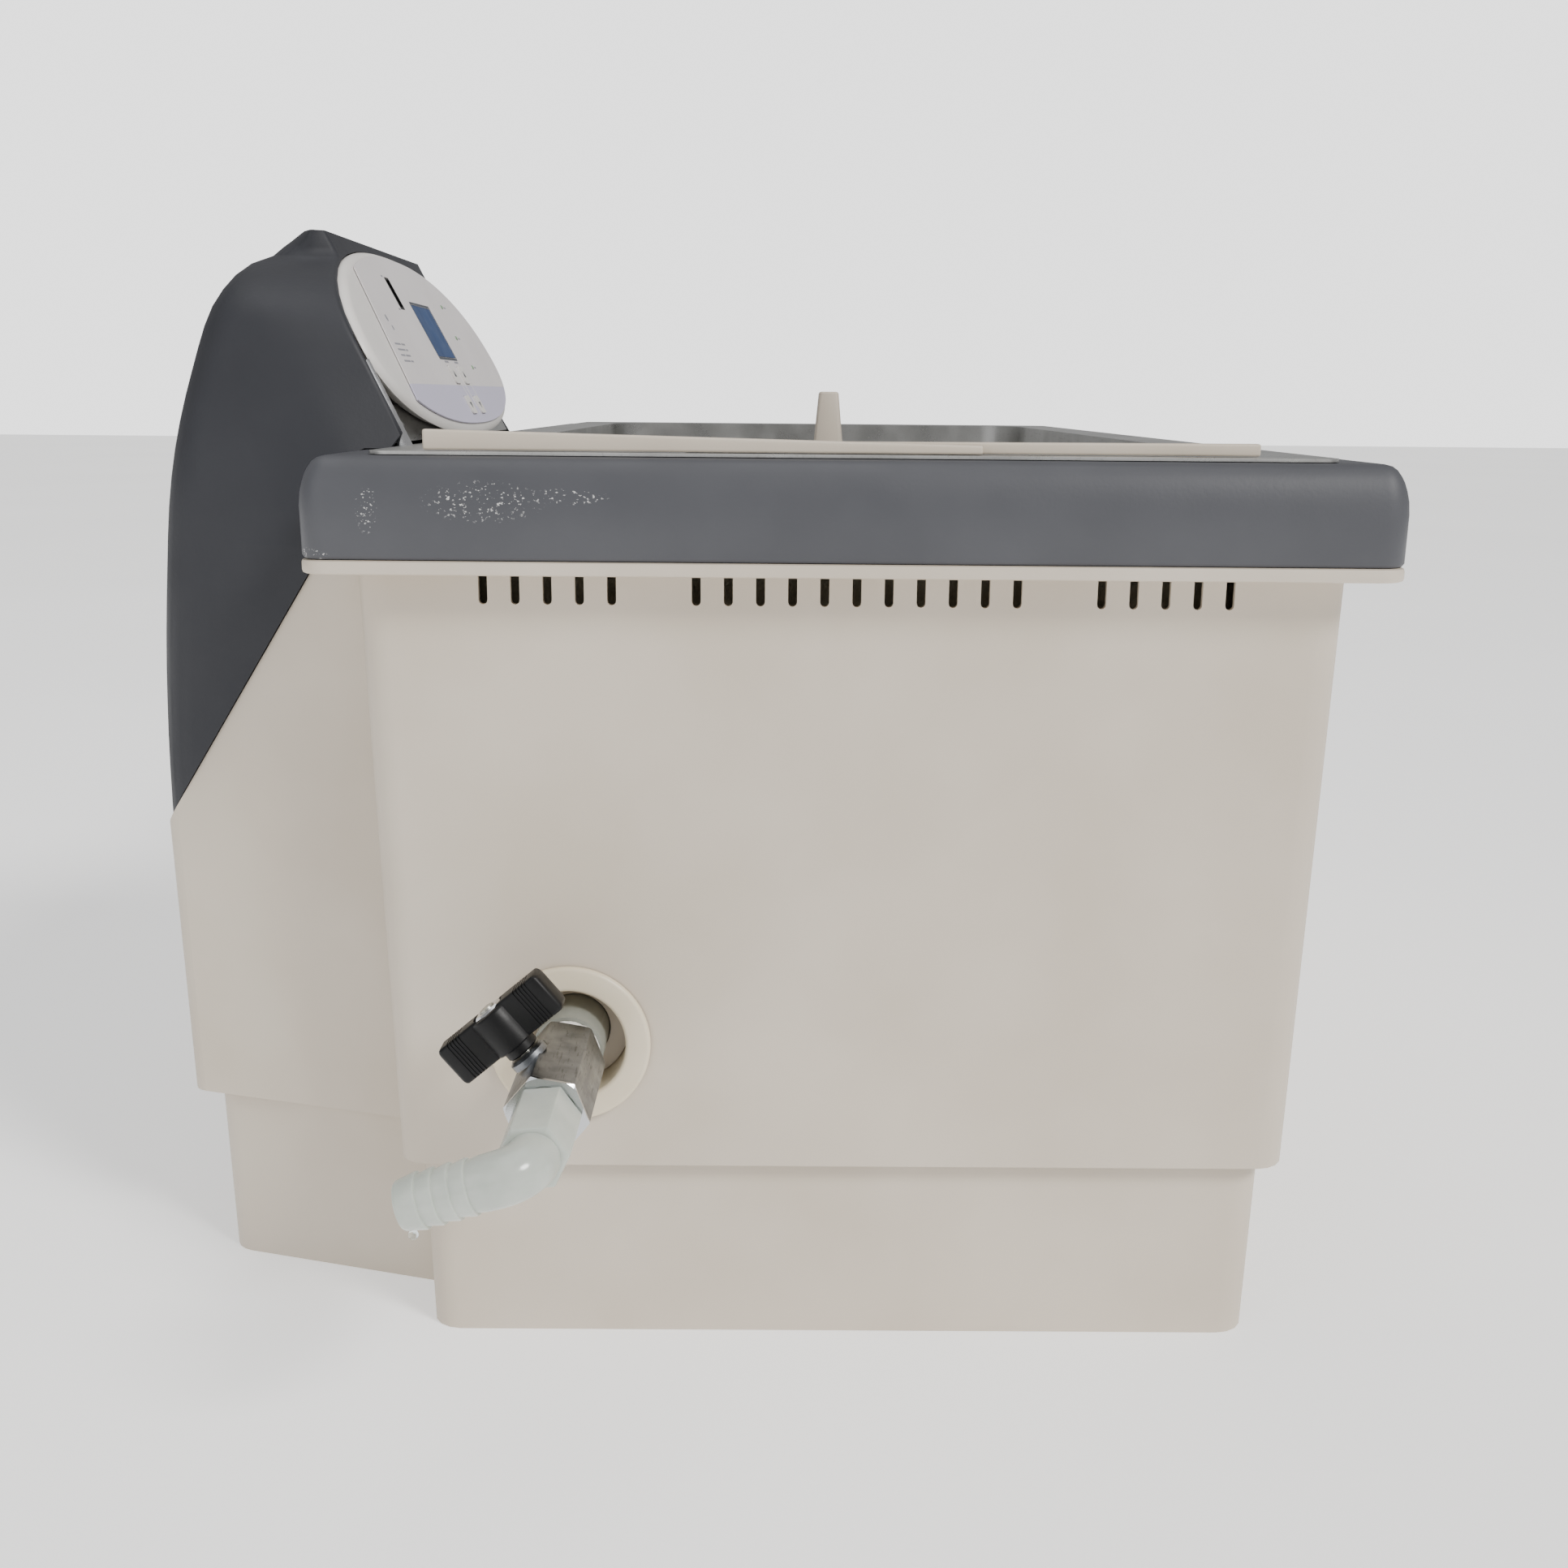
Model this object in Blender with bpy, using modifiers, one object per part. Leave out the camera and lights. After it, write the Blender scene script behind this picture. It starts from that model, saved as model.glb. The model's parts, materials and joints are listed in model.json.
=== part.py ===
"""Bench water bath with a rear console, an orbital shaking tray and a drain valve.

Units are metres. +Z is up. X runs along the long side of the bath, and the drain valve
is on the -X end. The user stands at -Y; the console rises behind the bath on the +Y side.
The origin is on the bench, under the centre of the bath.
"""

import math

import bmesh
import bpy
from mathutils import Matrix, Vector

GAP = 0.0003  # clearance left between pieces that touch
WALL = 0.0025  # thickness of the moulded shells

# Bath body, from the bench up
RIM_HALF = (0.375, 0.1935)  # outer half size of the rim, along X and Y
RIM_CORNER = 0.0105
FOOT_THICK = 0.0012  # flat pads, let into pockets under the base pan
STEP_Z = 0.0748  # joint between the base pan and the housing
TRIM_Z = (0.3035, 0.3085)  # light trim under the rim
RIM_Z = (0.3088, 0.3440)  # dark rim
RIM_PROFILE = ((0.0006, RIM_Z[0]), (0.0, RIM_Z[0] + 0.0180), (0.0013, RIM_Z[0] + 0.0262),
               (0.0032, RIM_Z[1] - 0.0050), (0.0058, RIM_Z[1] - 0.0016),
               (0.0095, RIM_Z[1]))  # inset of the outer face and its height
HOUSING_HALF = (0.3595, 0.1780)  # outer half size of the housing under the trim
DRAFT = 0.0259  # the walls lean in by this much per metre, going down
STEP_INSET = 0.0069  # the base pan is smaller than the housing by this much
CORNER = 0.012

# Tank
TANK_HALF = (0.320, 0.145)
TANK_FLOOR = 0.1500
TANK_SHEET = 0.0012
TANK_CORNER = 0.026
FLANGE_HALF = (0.362, 0.171)
FLANGE_Z = RIM_Z[1] + GAP
PROBE = (-0.1500, 0.1330, 0.3150)  # elbow of the temperature probe

# Tower behind the bath
TOWER_X = -0.137
TOWER_TAPER = 0.30  # half width lost per metre towards the rear
TOWER_REAR = 0.2740
TOWER_CORNER = 0.008
TOWER_REAR_HALF = 0.1442
HOOD_TIP_Z = 0.191  # lowest point of the hood, at the rear
HOOD_TOP_Z = 0.4310
HOOD_INSIDE_TOP = 0.4140  # the ridge above this is solid
HOOD_REAR = 0.2775
HOOD_RIDGE_Y = 0.218
HOOD_PROUD = 0.0015
HOOD_EDGE_SLOPE = -1.5  # rise of the hood's lower edge, per metre of +Y
HOOD_FACET = 0.026  # width of the facet beside the console face
HOOD_FOOT_HALF = 0.160  # half width of the hood's front edge where it meets the rim

# Console face: a plane that leans back, described by its own origin and slope
FACE_ANGLE = math.radians(62)
FACE_ORIGIN = Vector((-0.136, 0.1873, 0.3865))
POD_HALF = (0.147, 0.0450)
POD_CENTRE = (-0.0015, 0.0018)
POD_EGG = 0.10  # the pod is this much narrower at the top than at the middle
POD_POWER = 2.3  # 2 is an ellipse, more is squarer
POD_THICK = 0.0090
HOOD_FRONT_SETBACK = 0.0028
THROAT_SETBACK = 0.0100

# Drain and its valve, on one horizontal axis
DRAIN_Y = 0.1040
DRAIN_Z = 0.1255
RING_RADIUS = 0.0305
RING_HOLE = 0.0210
PIPE_END = -0.3640  # end of the grey pipe that sleeves the nipple
VALVE_X = (-0.4250, -0.3700)
VALVE_FLATS = 0.0260
STEM_LEAN = math.radians(40)  # stem direction, from straight up towards +Y
BARB_DROP = math.radians(16.5)
ELBOW_X = -0.4680

# Orbital drive under the tank
ORBIT = 0.0100
MOTOR_X = 0.160
BELT_Z = (0.086, 0.096)
CRANK_PULLEY_RADIUS = 0.036
MOTOR_PULLEY_RADIUS = 0.012
IDLER_X = 0.090
CARRIAGE_Z = (0.1100, 0.1140)
SLED_Z = (0.1530, 0.1630)
TRAY_Z = 0.1900
TRAY_HALF = (0.265, 0.112)


# ---------------------------------------------------------------- scene and materials

def clear_scene():
    for obj in list(bpy.data.objects):
        bpy.data.objects.remove(obj, do_unlink=True)


def new_collection(name):
    collection = bpy.data.collections.new(name)
    bpy.context.scene.collection.children.link(collection)
    return collection


clear_scene()
PARTS = new_collection("water_bath")
CUTTERS = new_collection("cutters")


def material(name, colour, roughness, metallic=0.0):
    made = bpy.data.materials.new(name)
    made.use_nodes = True
    shader = made.node_tree.nodes["Principled BSDF"]
    shader.inputs["Base Color"].default_value = (*colour, 1.0)
    shader.inputs["Roughness"].default_value = roughness
    shader.inputs["Metallic"].default_value = metallic
    return made


BEIGE = material("beige plastic", (0.58, 0.54, 0.48), 0.50)
DARK_GREY = material("dark grey plastic", (0.075, 0.077, 0.083), 0.55)
OFF_WHITE = material("off-white plastic", (0.72, 0.70, 0.68), 0.40)
CREAM = material("cream plastic", (0.75, 0.68, 0.55), 0.45)
STAINLESS = material("brushed stainless", (0.60, 0.60, 0.60), 0.28, 1.0)
CHROME = material("chromed brass", (0.70, 0.70, 0.70), 0.18, 1.0)
BRASS = material("brass", (0.65, 0.48, 0.22), 0.30, 1.0)
BLACK = material("black plastic", (0.012, 0.012, 0.014), 0.45)
NYLON = material("translucent nylon", (0.72, 0.75, 0.72), 0.35)
PTFE = material("white PTFE", (0.85, 0.85, 0.85), 0.50)
GREY_PVC = material("grey PVC", (0.30, 0.31, 0.28), 0.50)
RUBBER = material("black rubber", (0.02, 0.02, 0.02), 0.80)
FOAM = material("insulating foam", (0.60, 0.58, 0.50), 0.95)
STEEL = material("zinc-plated steel", (0.50, 0.50, 0.48), 0.40, 1.0)
MOTOR_BLACK = material("painted motor can", (0.05, 0.05, 0.055), 0.40, 0.2)
BLUE_GLASS = material("blue display glass", (0.07, 0.14, 0.32), 0.15)
BOARD_GREEN = material("circuit board", (0.02, 0.16, 0.07), 0.50)


# ---------------------------------------------------------------- modelling helpers

def add(name, mesh, surface, collection=PARTS):
    obj = bpy.data.objects.new(name, mesh)
    collection.objects.link(obj)
    if surface:
        mesh.materials.append(surface)
        mesh.shade_smooth()
        mesh.set_sharp_from_angle(angle=math.radians(35))
    return obj


def from_bmesh(name, bm, surface, collection=PARTS):
    bmesh.ops.recalc_face_normals(bm, faces=bm.faces)
    mesh = bpy.data.meshes.new(name)
    bm.to_mesh(mesh)
    bm.free()
    return add(name, mesh, surface, collection)


def rounded(corners, radii, segments=4):
    """Outline through the corners, each one rounded by an arc of its own radius."""
    points = []
    count = len(corners)
    for i, radius in enumerate(radii):
        corner = Vector(corners[i])
        before = (Vector(corners[i - 1]) - corner).normalized()
        after = (Vector(corners[(i + 1) % count]) - corner).normalized()
        if radius == 0:
            points.append(corner)
            continue
        half = before.angle(after) / 2
        reach = radius / math.tan(half)
        centre = corner + (before + after).normalized() * radius / math.sin(half)
        start = corner + before * reach - centre
        end = corner + after * reach - centre
        sweep = start.angle_signed(end)
        for step in range(segments + 1):
            turn = -sweep * step / segments
            points.append(centre + Matrix.Rotation(turn, 2) @ start)
    return points


def softened(corners, reaches, steps=5):
    """Outline whose corners are drawn in by smooth curves, starting a reach from each one."""
    points = []
    for i, reach in enumerate(reaches):
        corner = Vector(corners[i])
        start = corner + (Vector(corners[i - 1]) - corner).normalized() * reach
        end = corner + (Vector(corners[(i + 1) % len(corners)]) - corner).normalized() * reach
        for step in range(steps + 1):
            t = step / steps
            points.append(start * (1 - t) ** 2 + corner * 2 * t * (1 - t) + end * t * t)
    return points


def rectangle(half_x, half_y, radius, segments=4):
    corners = [(-half_x, -half_y), (half_x, -half_y), (half_x, half_y), (-half_x, half_y)]
    return rounded(corners, [radius] * 4, segments)


def at_height(outline, z):
    return [Vector((p[0], p[1], z)) for p in outline]


def skin(loops, cap_first=False, cap_last=False, bm=None, join_ends=False):
    """Closed loops of equal length joined in order by quads."""
    bm = bm or bmesh.new()
    rows = [[bm.verts.new(p) for p in loop] for loop in loops]
    pairs = list(zip(rows, rows[1:]))
    if join_ends:
        pairs.append((rows[-1], rows[0]))
    for low, high in pairs:
        for i in range(len(low)):
            j = (i + 1) % len(low)
            bm.faces.new((low[i], low[j], high[j], high[i]))
    if cap_first:
        bm.faces.new(rows[0])
    if cap_last:
        bm.faces.new(rows[-1])
    return bm


def prism(name, outline, z0, z1, surface, collection=PARTS):
    loops = [at_height(outline, z0), at_height(outline, z1)]
    return from_bmesh(name, skin(loops, True, True), surface, collection)


def frame(name, outer, inner, z0, z1, surface):
    """Flat ring between two outlines with the same number of points."""
    loops = [at_height(outer, z0), at_height(outer, z1), at_height(inner, z1), at_height(inner, z0)]
    return from_bmesh(name, skin(loops, join_ends=True), surface)


def box(name, size, centre, surface, collection=PARTS):
    bm = bmesh.new()
    bmesh.ops.create_cube(bm, size=1.0)
    bmesh.ops.scale(bm, vec=size, verts=bm.verts)
    bmesh.ops.translate(bm, vec=centre, verts=bm.verts)
    return from_bmesh(name, bm, surface, collection)


def along(direction):
    """Rotation that turns +Z to the direction."""
    return Vector(direction).to_track_quat("Z", "Y").to_matrix().to_4x4()


def rod_into(bm, radius, start, end, segments=24, end_radius=None):
    start, end = Vector(start), Vector(end)
    place = Matrix.Translation((start + end) / 2) @ along(end - start)
    bmesh.ops.create_cone(bm, cap_ends=True, segments=segments, radius1=radius,
                          radius2=radius if end_radius is None else end_radius,
                          depth=(end - start).length, matrix=place)


def rod(name, radius, start, end, surface, collection=PARTS, segments=24):
    bm = bmesh.new()
    rod_into(bm, radius, start, end, segments)
    return from_bmesh(name, bm, surface, collection)


def ring_into(bm, profile, steps, centre=(0.0, 0.0)):
    """Closed profile of (radius, height) points turned about an upright axis."""
    loops = []
    for step in range(steps):
        turn = 2 * math.pi * step / steps
        loops.append([Vector((centre[0] + r * math.cos(turn), centre[1] + r * math.sin(turn), z))
                      for r, z in profile])
    skin(loops, bm=bm, join_ends=True)
    bmesh.ops.remove_doubles(bm, verts=bm.verts, dist=1e-7)
    wires = [edge for edge in bm.edges if not edge.link_faces]
    bmesh.ops.delete(bm, geom=wires, context="EDGES")


def turned(name, profile, place, surface, steps=24, collection=PARTS):
    bm = bmesh.new()
    ring_into(bm, profile, steps)
    obj = from_bmesh(name, bm, surface, collection)
    obj.matrix_world = place
    return obj


def tube(name, radius, points, surface):
    """Wire or pipe along straight runs, with filled ends."""
    curve = bpy.data.curves.new(name, "CURVE")
    curve.dimensions = "3D"
    curve.bevel_depth = radius
    curve.bevel_resolution = 2
    curve.use_fill_caps = True
    spline = curve.splines.new("POLY")
    spline.points.add(len(points) - 1)
    for slot, point in zip(spline.points, points):
        slot.co = (*point, 1.0)
    curve.materials.append(surface)
    obj = bpy.data.objects.new(name, curve)
    PARTS.objects.link(obj)
    return obj


def cut(target, cutter, operation="DIFFERENCE", solver="EXACT"):
    cutter.display_type = "WIRE"
    cutter.hide_render = True
    modifier = target.modifiers.new(cutter.name, "BOOLEAN")
    modifier.operation = operation
    modifier.solver = solver
    modifier.object = cutter
    return target


def cutter_box(name, low, high):
    size = [b - a for a, b in zip(low, high)]
    centre = [(a + b) / 2 for a, b in zip(low, high)]
    return box(name, size, centre, None, CUTTERS)


def cutter_rod(name, radius, start, end, segments=24):
    return rod(name, radius, start, end, None, CUTTERS, segments)


def bevel(obj, width, segments=2, angle=40):
    modifier = obj.modifiers.new("rounded edges", "BEVEL")
    modifier.width = width
    modifier.segments = segments
    modifier.angle_limit = math.radians(angle)
    return obj


def thicken(obj, thickness):
    modifier = obj.modifiers.new("wall", "SOLIDIFY")
    modifier.thickness = thickness
    modifier.offset = -1
    modifier.use_even_offset = True
    return obj


# ---------------------------------------------------------------- outlines of the body

def housing_half(z):
    """Outer half size of the housing's leaning walls at a height."""
    lean = DRAFT * (TRIM_Z[0] - z)
    return HOUSING_HALF[0] - lean, HOUSING_HALF[1] - lean


def tower_half(y, z):
    """Half width of the tower about TOWER_X, at a distance behind the bath."""
    return TOWER_REAR_HALF + (TOWER_REAR - y) * TOWER_TAPER + DRAFT * (z - STEP_Z)


def tower_rear(z):
    return TOWER_REAR + DRAFT * (z - STEP_Z)


def hood_rear(z):
    """Rear of the hood: upright at its tip, curling forward to the ridge."""
    t = (z - HOOD_TIP_Z) / (HOOD_TOP_Z + 0.0004 - HOOD_TIP_Z)
    return HOOD_RIDGE_Y + (HOOD_REAR - HOOD_RIDGE_Y) * math.sqrt(1 - max(t, 0) ** 2)


def face_y(z, setback):
    """Y of the leaning console plane at a height, set back from the face."""
    rise = (z - FACE_ORIGIN.z) / math.tan(FACE_ANGLE)
    return FACE_ORIGIN.y + rise + setback / math.sin(FACE_ANGLE)


def face_matrix():
    """Console face frame: X to the user's right, Y up the slope, Z out of the face."""
    return Matrix.Translation(FACE_ORIGIN) @ Matrix.Rotation(FACE_ANGLE, 4, "X")


def hood_edge_z(y):
    """Height of the hood's slanted lower edge."""
    return HOOD_TIP_Z + (y - HOOD_REAR) * HOOD_EDGE_SLOPE


def pan_outline(z):
    """Base pan: the bath's footprint and the tower's, in one outline."""
    inset = STEP_INSET + DRAFT * (STEP_Z - z)
    half_x, half_y = housing_half(STEP_Z)
    half_x, half_y = half_x - inset, half_y - inset
    rear = TOWER_REAR - 0.0100 - DRAFT * (STEP_Z - z)
    near = tower_half(half_y, z) - 0.0045
    far = tower_half(rear, z) - 0.0045
    corners = [(-half_x, -half_y), (half_x, -half_y), (half_x, half_y),
               (TOWER_X + near, half_y), (TOWER_X + far, rear),
               (TOWER_X - far, rear), (TOWER_X - near, half_y), (-half_x, half_y)]
    return rounded(corners, [CORNER, CORNER, CORNER, 0, CORNER, CORNER, 0, CORNER])


def envelope(name, clearance):
    """Cutter with the outside of the bath body, for the pieces that close around it."""
    loops = []
    for z in (0.05, TRIM_Z[0] - clearance):
        half_x, half_y = housing_half(z)
        loops.append(at_height(rectangle(half_x + clearance, half_y + clearance, CORNER), z))
    rim = rectangle(RIM_HALF[0] + clearance, RIM_HALF[1] + clearance, RIM_CORNER)
    loops.append(at_height(rim, TRIM_Z[0] - clearance))
    for inset, z in RIM_PROFILE[1:]:
        outline = rectangle(RIM_HALF[0] - inset + clearance, RIM_HALF[1] - inset + clearance,
                            RIM_CORNER - inset + clearance)
        loops.append(at_height(outline, z + (clearance if z > RIM_Z[0] + 0.0200 else 0.0)))
    flange = rectangle(FLANGE_HALF[0] + clearance, FLANGE_HALF[1] + clearance, RIM_CORNER)
    loops.append(at_height(flange, RIM_Z[1] + clearance))
    loops.append(at_height(flange, FLANGE_Z + TANK_SHEET + clearance))
    return from_bmesh(name, skin(loops, True, True), None, CUTTERS)


def edge_wedge(name, above):
    """Cutter for the slanted joint between the tower shell and the hood."""
    y0, y1 = 0.150, 0.300
    shift = -GAP if above else GAP
    end = 0.46 if above else 0.04
    rows = [(y0, hood_edge_z(y0) + shift), (y1, hood_edge_z(y1) + shift), (y1, end), (y0, end)]
    loops = [[Vector((x, y, z)) for y, z in rows] for x in (-0.37, 0.10)]
    return from_bmesh(name, skin(loops, True, True), None, CUTTERS)


# ---------------------------------------------------------------- base, housing and rim

FOOT_RADIUS = 0.013
FEET = {"foot_front_drain": (-0.300, -0.120), "foot_rear_drain": (-0.300, 0.120),
        "foot_front_far": (0.300, -0.120), "foot_rear_far": (0.300, 0.120)}


def build_base_pan():
    loops = [at_height(pan_outline(z), z) for z in (0.0, STEP_Z - GAP)]
    pan = from_bmesh("base_pan", skin(loops, cap_first=True), BEIGE)
    thicken(pan, WALL)
    pockets = bmesh.new()
    for x, y in FEET.values():
        rod_into(pockets, FOOT_RADIUS + GAP, (x, y, -0.001), (x, y, FOOT_THICK + GAP), 20)
    cut(pan, from_bmesh("foot_pockets", pockets, None, CUTTERS))


def build_feet():
    for name, (x, y) in FEET.items():
        rod(name, FOOT_RADIUS, (x, y, 0), (x, y, FOOT_THICK), RUBBER, segments=20)


def build_housing():
    loops = []
    for z in (STEP_Z, TRIM_Z[0] - GAP):
        half_x, half_y = housing_half(z)
        loops.append(at_height(rectangle(half_x, half_y, CORNER), z))
    housing = from_bmesh("housing", skin(loops), BEIGE)
    thicken(housing, WALL)
    cut(housing, vent_cutter())
    cut(housing, cutter_rod("drain_hole", RING_HOLE + 0.0034, (-0.380, DRAIN_Y, DRAIN_Z),
                            (-0.330, DRAIN_Y, DRAIN_Z), 32))
    cut(housing, cutter_box("wiring_window", (TOWER_X - 0.110, 0.150, 0.100),
                            (TOWER_X + 0.110, 0.190, 0.280)))


def vent_cutter():
    """Slots in three groups along the top of the drain end's wall."""
    pitch, half_width, depth, shift = 0.01144, 0.0016, 0.0115, -0.0015
    side_start = 7.63  # first slot of a side group, in pitches from the middle
    places = list(range(-5, 6))
    for k in range(5):
        places += [side_start + k, -side_start - k]
    bm = bmesh.new()
    for place in sorted(places):
        y = place * pitch + shift
        low = TRIM_Z[0] - depth
        high = TRIM_Z[0] - 0.0010
        corners = [(y - half_width, low), (y + half_width, low),
                   (y + half_width, high), (y - half_width, high)]
        round_end = rounded(corners, [half_width * 0.98, half_width * 0.98, 0, 0], 3)
        loops = [[Vector((x, p[0], p[1])) for p in round_end] for x in (-0.370, -0.345)]
        skin(loops, True, True, bm=bm)
    return from_bmesh("vent_slots", bm, None, CUTTERS)


def build_trim():
    outer = rectangle(*RIM_HALF, RIM_CORNER)
    inner = rectangle(0.338, 0.160, CORNER)
    frame("trim_strip", outer, inner, TRIM_Z[0], TRIM_Z[1], BEIGE)


def build_rim():
    """Dark rim: a moulded ring whose outer face bulges and rolls over to a flat top."""
    low, high = RIM_Z
    loops = [at_height(rectangle(RIM_HALF[0] - inset, RIM_HALF[1] - inset, RIM_CORNER - inset), z)
             for inset, z in RIM_PROFILE]
    inner = rectangle(0.332, 0.157, CORNER)
    loops += [at_height(inner, high), at_height(inner, low)]
    from_bmesh("rim_band", skin(loops, join_ends=True), DARK_GREY)


# ---------------------------------------------------------------- tower and console

def tower_outline(half_at, front, rear):
    corners = [(TOWER_X - half_at(front), front), (TOWER_X + half_at(front), front),
               (TOWER_X + half_at(rear), rear), (TOWER_X - half_at(rear), rear)]
    return rounded(corners, [0, 0, TOWER_CORNER, TOWER_CORNER])


def build_tower():
    loops = []
    for z in (STEP_Z, 0.325):
        outline = tower_outline(lambda y: tower_half(y, z), 0.150, tower_rear(z))
        loops.append(at_height(outline, z))
    tower = from_bmesh("tower_shell", skin(loops), BEIGE)
    thicken(tower, WALL)
    cut(tower, envelope("bath_outside", GAP))
    cut(tower, edge_wedge("above_joint", True))
    cut(tower, cutter_box("inlet_window", (-0.2040, 0.255, 0.1080), (-0.1760, 0.295, 0.1290)))
    cut(tower, cutter_rod("fuse_window", 0.0074, (-0.1500, 0.255, 0.1185),
                          (-0.1500, 0.295, 0.1185), 20))


def front_half(z):
    """Half width of the hood's front edge: it follows the pod, then spreads to the rim."""
    t = ((z - FACE_ORIGIN.z) / math.sin(FACE_ANGLE) - POD_CENTRE[1]) / POD_HALF[1]
    lowest, highest, foot_t = -0.2, 0.8, -1.066
    held = min(max(t, lowest), highest)

    def beside_pod(t):
        oval = POD_HALF[0] * (1 - abs(t) ** POD_POWER) ** (1 / POD_POWER)
        return oval * (1 - POD_EGG * t) + 0.0035

    spread = (HOOD_FOOT_HALF - beside_pod(lowest)) / (lowest - foot_t)
    return beside_pod(held) + spread * max(0.0, lowest - t)


def crown(z):
    """How far the hood's shoulder swells out behind the facet, and then draws in at its top."""
    swell = min(max((z - 0.384) / 0.030, 0.0), 1.0)
    return 0.0080 * swell * swell * (3 - 2 * swell) - 0.024 * max((z - 0.415) / 0.015, 0.0) ** 1.3


def side_half(y, z, bend):
    """Half width of the hood behind its facet: the tower's, leaning in beside the pod."""
    low = tower_half(y, z) + HOOD_PROUD
    high = front_half(z) + 0.0040 - 0.12 * (y - bend) + crown(z) * min((y - bend) / 0.010, 1.0)
    blend = min(max((z - 0.290) / 0.090, 0.0), 1.0)
    return low + (high - low) * blend * blend * (3 - 2 * blend)


def hood_loop(z, wall=0.0):
    """One level section of the hood, with a facet beside the face."""
    front = face_y(z, HOOD_FRONT_SETBACK + wall)
    rear = hood_rear(z + wall) - wall
    bend = front + min(HOOD_FACET, 0.45 * (rear - front))
    half_front = front_half(z) - wall
    half_bend = side_half(bend, z, bend) - wall
    half_rear = side_half(rear, z, bend) - wall
    reach = rear - front
    middle = FACE_ORIGIN.x + POD_CENTRE[0]
    corners = [(middle - half_front, front), (middle + half_front, front),
               (TOWER_X + half_bend, bend), (TOWER_X + half_rear, rear),
               (TOWER_X - half_rear, rear), (TOWER_X - half_bend, bend)]
    tight, soft, wide = min(0.002, 0.1 * reach), min(0.008, 0.15 * reach), min(0.016, 0.35 * reach)
    return at_height(softened(corners, [tight, tight, soft, wide, wide, soft]), z)


def hood_block(name, low, high, wall, count, surface, collection):
    """Solid hood, its sections closer together where it curls forward."""
    levels = [low + (high - low) * math.sin(math.pi / 2 * i / count) for i in range(count + 1)]
    loops = [hood_loop(z, wall) for z in levels]
    return from_bmesh(name, skin(loops, True, True), surface, collection)


def face_outline(half_x, half_y, count=36):
    """Egg-shaped oval about the pod's centre, in the console face's own frame."""
    points = []
    for i in range(count):
        turn = 2 * math.pi * i / count
        c, s = math.cos(turn), math.sin(turn)
        along_x = math.copysign(abs(c) ** (2 / POD_POWER), c)
        along_y = math.copysign(abs(s) ** (2 / POD_POWER), s)
        points.append(Vector((POD_CENTRE[0] + half_x * along_x * (1 - POD_EGG * along_y),
                              POD_CENTRE[1] + half_y * along_y)))
    return points


def on_face(name, outline, w0, w1, surface, collection=PARTS):
    """Plate with the outline, between two offsets out of the console face."""
    obj = prism(name, outline, w0, w1, surface, collection)
    obj.matrix_world = face_matrix()
    return obj


def build_hood():
    top = HOOD_TOP_Z - 0.0010
    hood = hood_block("console_hood", 0.170, top, 0.0, 28, DARK_GREY, PARTS)
    upper = face_outline(POD_HALF[0] + 0.0006, POD_HALF[1] + 0.0006)
    lower = [(-0.1700, -0.090), (0.1800, -0.090), (0.1800, 0.002), (-0.1510, 0.002)]
    lower = [Vector(p) for p in lower]
    for cutter in (on_face("pod_opening", upper, -0.030, 0.030, None, CUTTERS),
                   on_face("throat_opening", lower, -0.0125, 0.030, None, CUTTERS),
                   hood_block("hood_inside", 0.160, HOOD_INSIDE_TOP, WALL, 16, None, CUTTERS),
                   envelope("bath_outside_hood", 0.0005), edge_wedge("below_joint", False)):
        cut(hood, cutter, solver="MANIFOLD")


LCD = (0.0055, 0.0072, 0.0420, 0.0256)  # centre and size on the face
SWITCH = (-0.0405, 0.0241, 0.0085, 0.0150)
KEY_SIZE = (0.0110, 0.0090)
KEYS = {"key_temp_up": (-0.0035, -0.0150), "key_temp_down": (-0.0035, -0.0305),
        "key_speed_up": (0.0210, -0.0150), "key_speed_down": (0.0210, -0.0305)}
OVERLAY_THICK = 0.0006
KEY_PROUD = 0.0007


def face_box(name, centre_size, w0, w1, surface, collection=PARTS, radius=0.0, grow=0.0):
    u, v, width, height = centre_size
    half_u, half_v = width / 2 + grow, height / 2 + grow
    corners = [(u - half_u, v - half_v), (u + half_u, v - half_v),
               (u + half_u, v + half_v), (u - half_u, v + half_v)]
    outline = rounded(corners, [radius] * 4, 3) if radius else [Vector(c) for c in corners]
    return on_face(name, outline, w0, w1, surface, collection)


def overlay_outline():
    """Membrane outline: a smaller oval, cut straight at the end beside the drain."""
    end, lean = -0.1075, 0.33
    return [Vector((max(end + lean * p.y, p.x), p.y)) for p in face_outline(0.1410, 0.0413)]


def build_pod():
    pod = on_face("console_pod", face_outline(*POD_HALF), -POD_THICK, 0.0, OFF_WHITE)
    bevel(pod, 0.0028, 2, 60)
    overlay = on_face("keypad_overlay", overlay_outline(), GAP, GAP + OVERLAY_THICK, OFF_WHITE)
    depth = 0.030
    for target in (pod, overlay):
        for window, spot in (("_lcd", LCD), ("_switch", SWITCH)):
            cut(target, face_box(target.name + window, spot, -depth, depth, None, CUTTERS,
                                 grow=GAP))
    for name, (u, v) in KEYS.items():
        spot = (u, v, *KEY_SIZE)
        cut(pod, face_box(name + "_pocket", spot, -0.0030, 0.010, None, CUTTERS, 0.0014, 0.0003))
        cut(overlay, face_box(name + "_hole", spot, -0.010, 0.010, None, CUTTERS, 0.0014, 0.0003))
        top = GAP + OVERLAY_THICK + KEY_PROUD
        move_origin(face_box(name, spot, top - 0.0030, top, OFF_WHITE, radius=0.0014))
    face_box("display_window", LCD, -0.0010, GAP + OVERLAY_THICK, BLUE_GLASS)
    build_switch()


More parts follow.
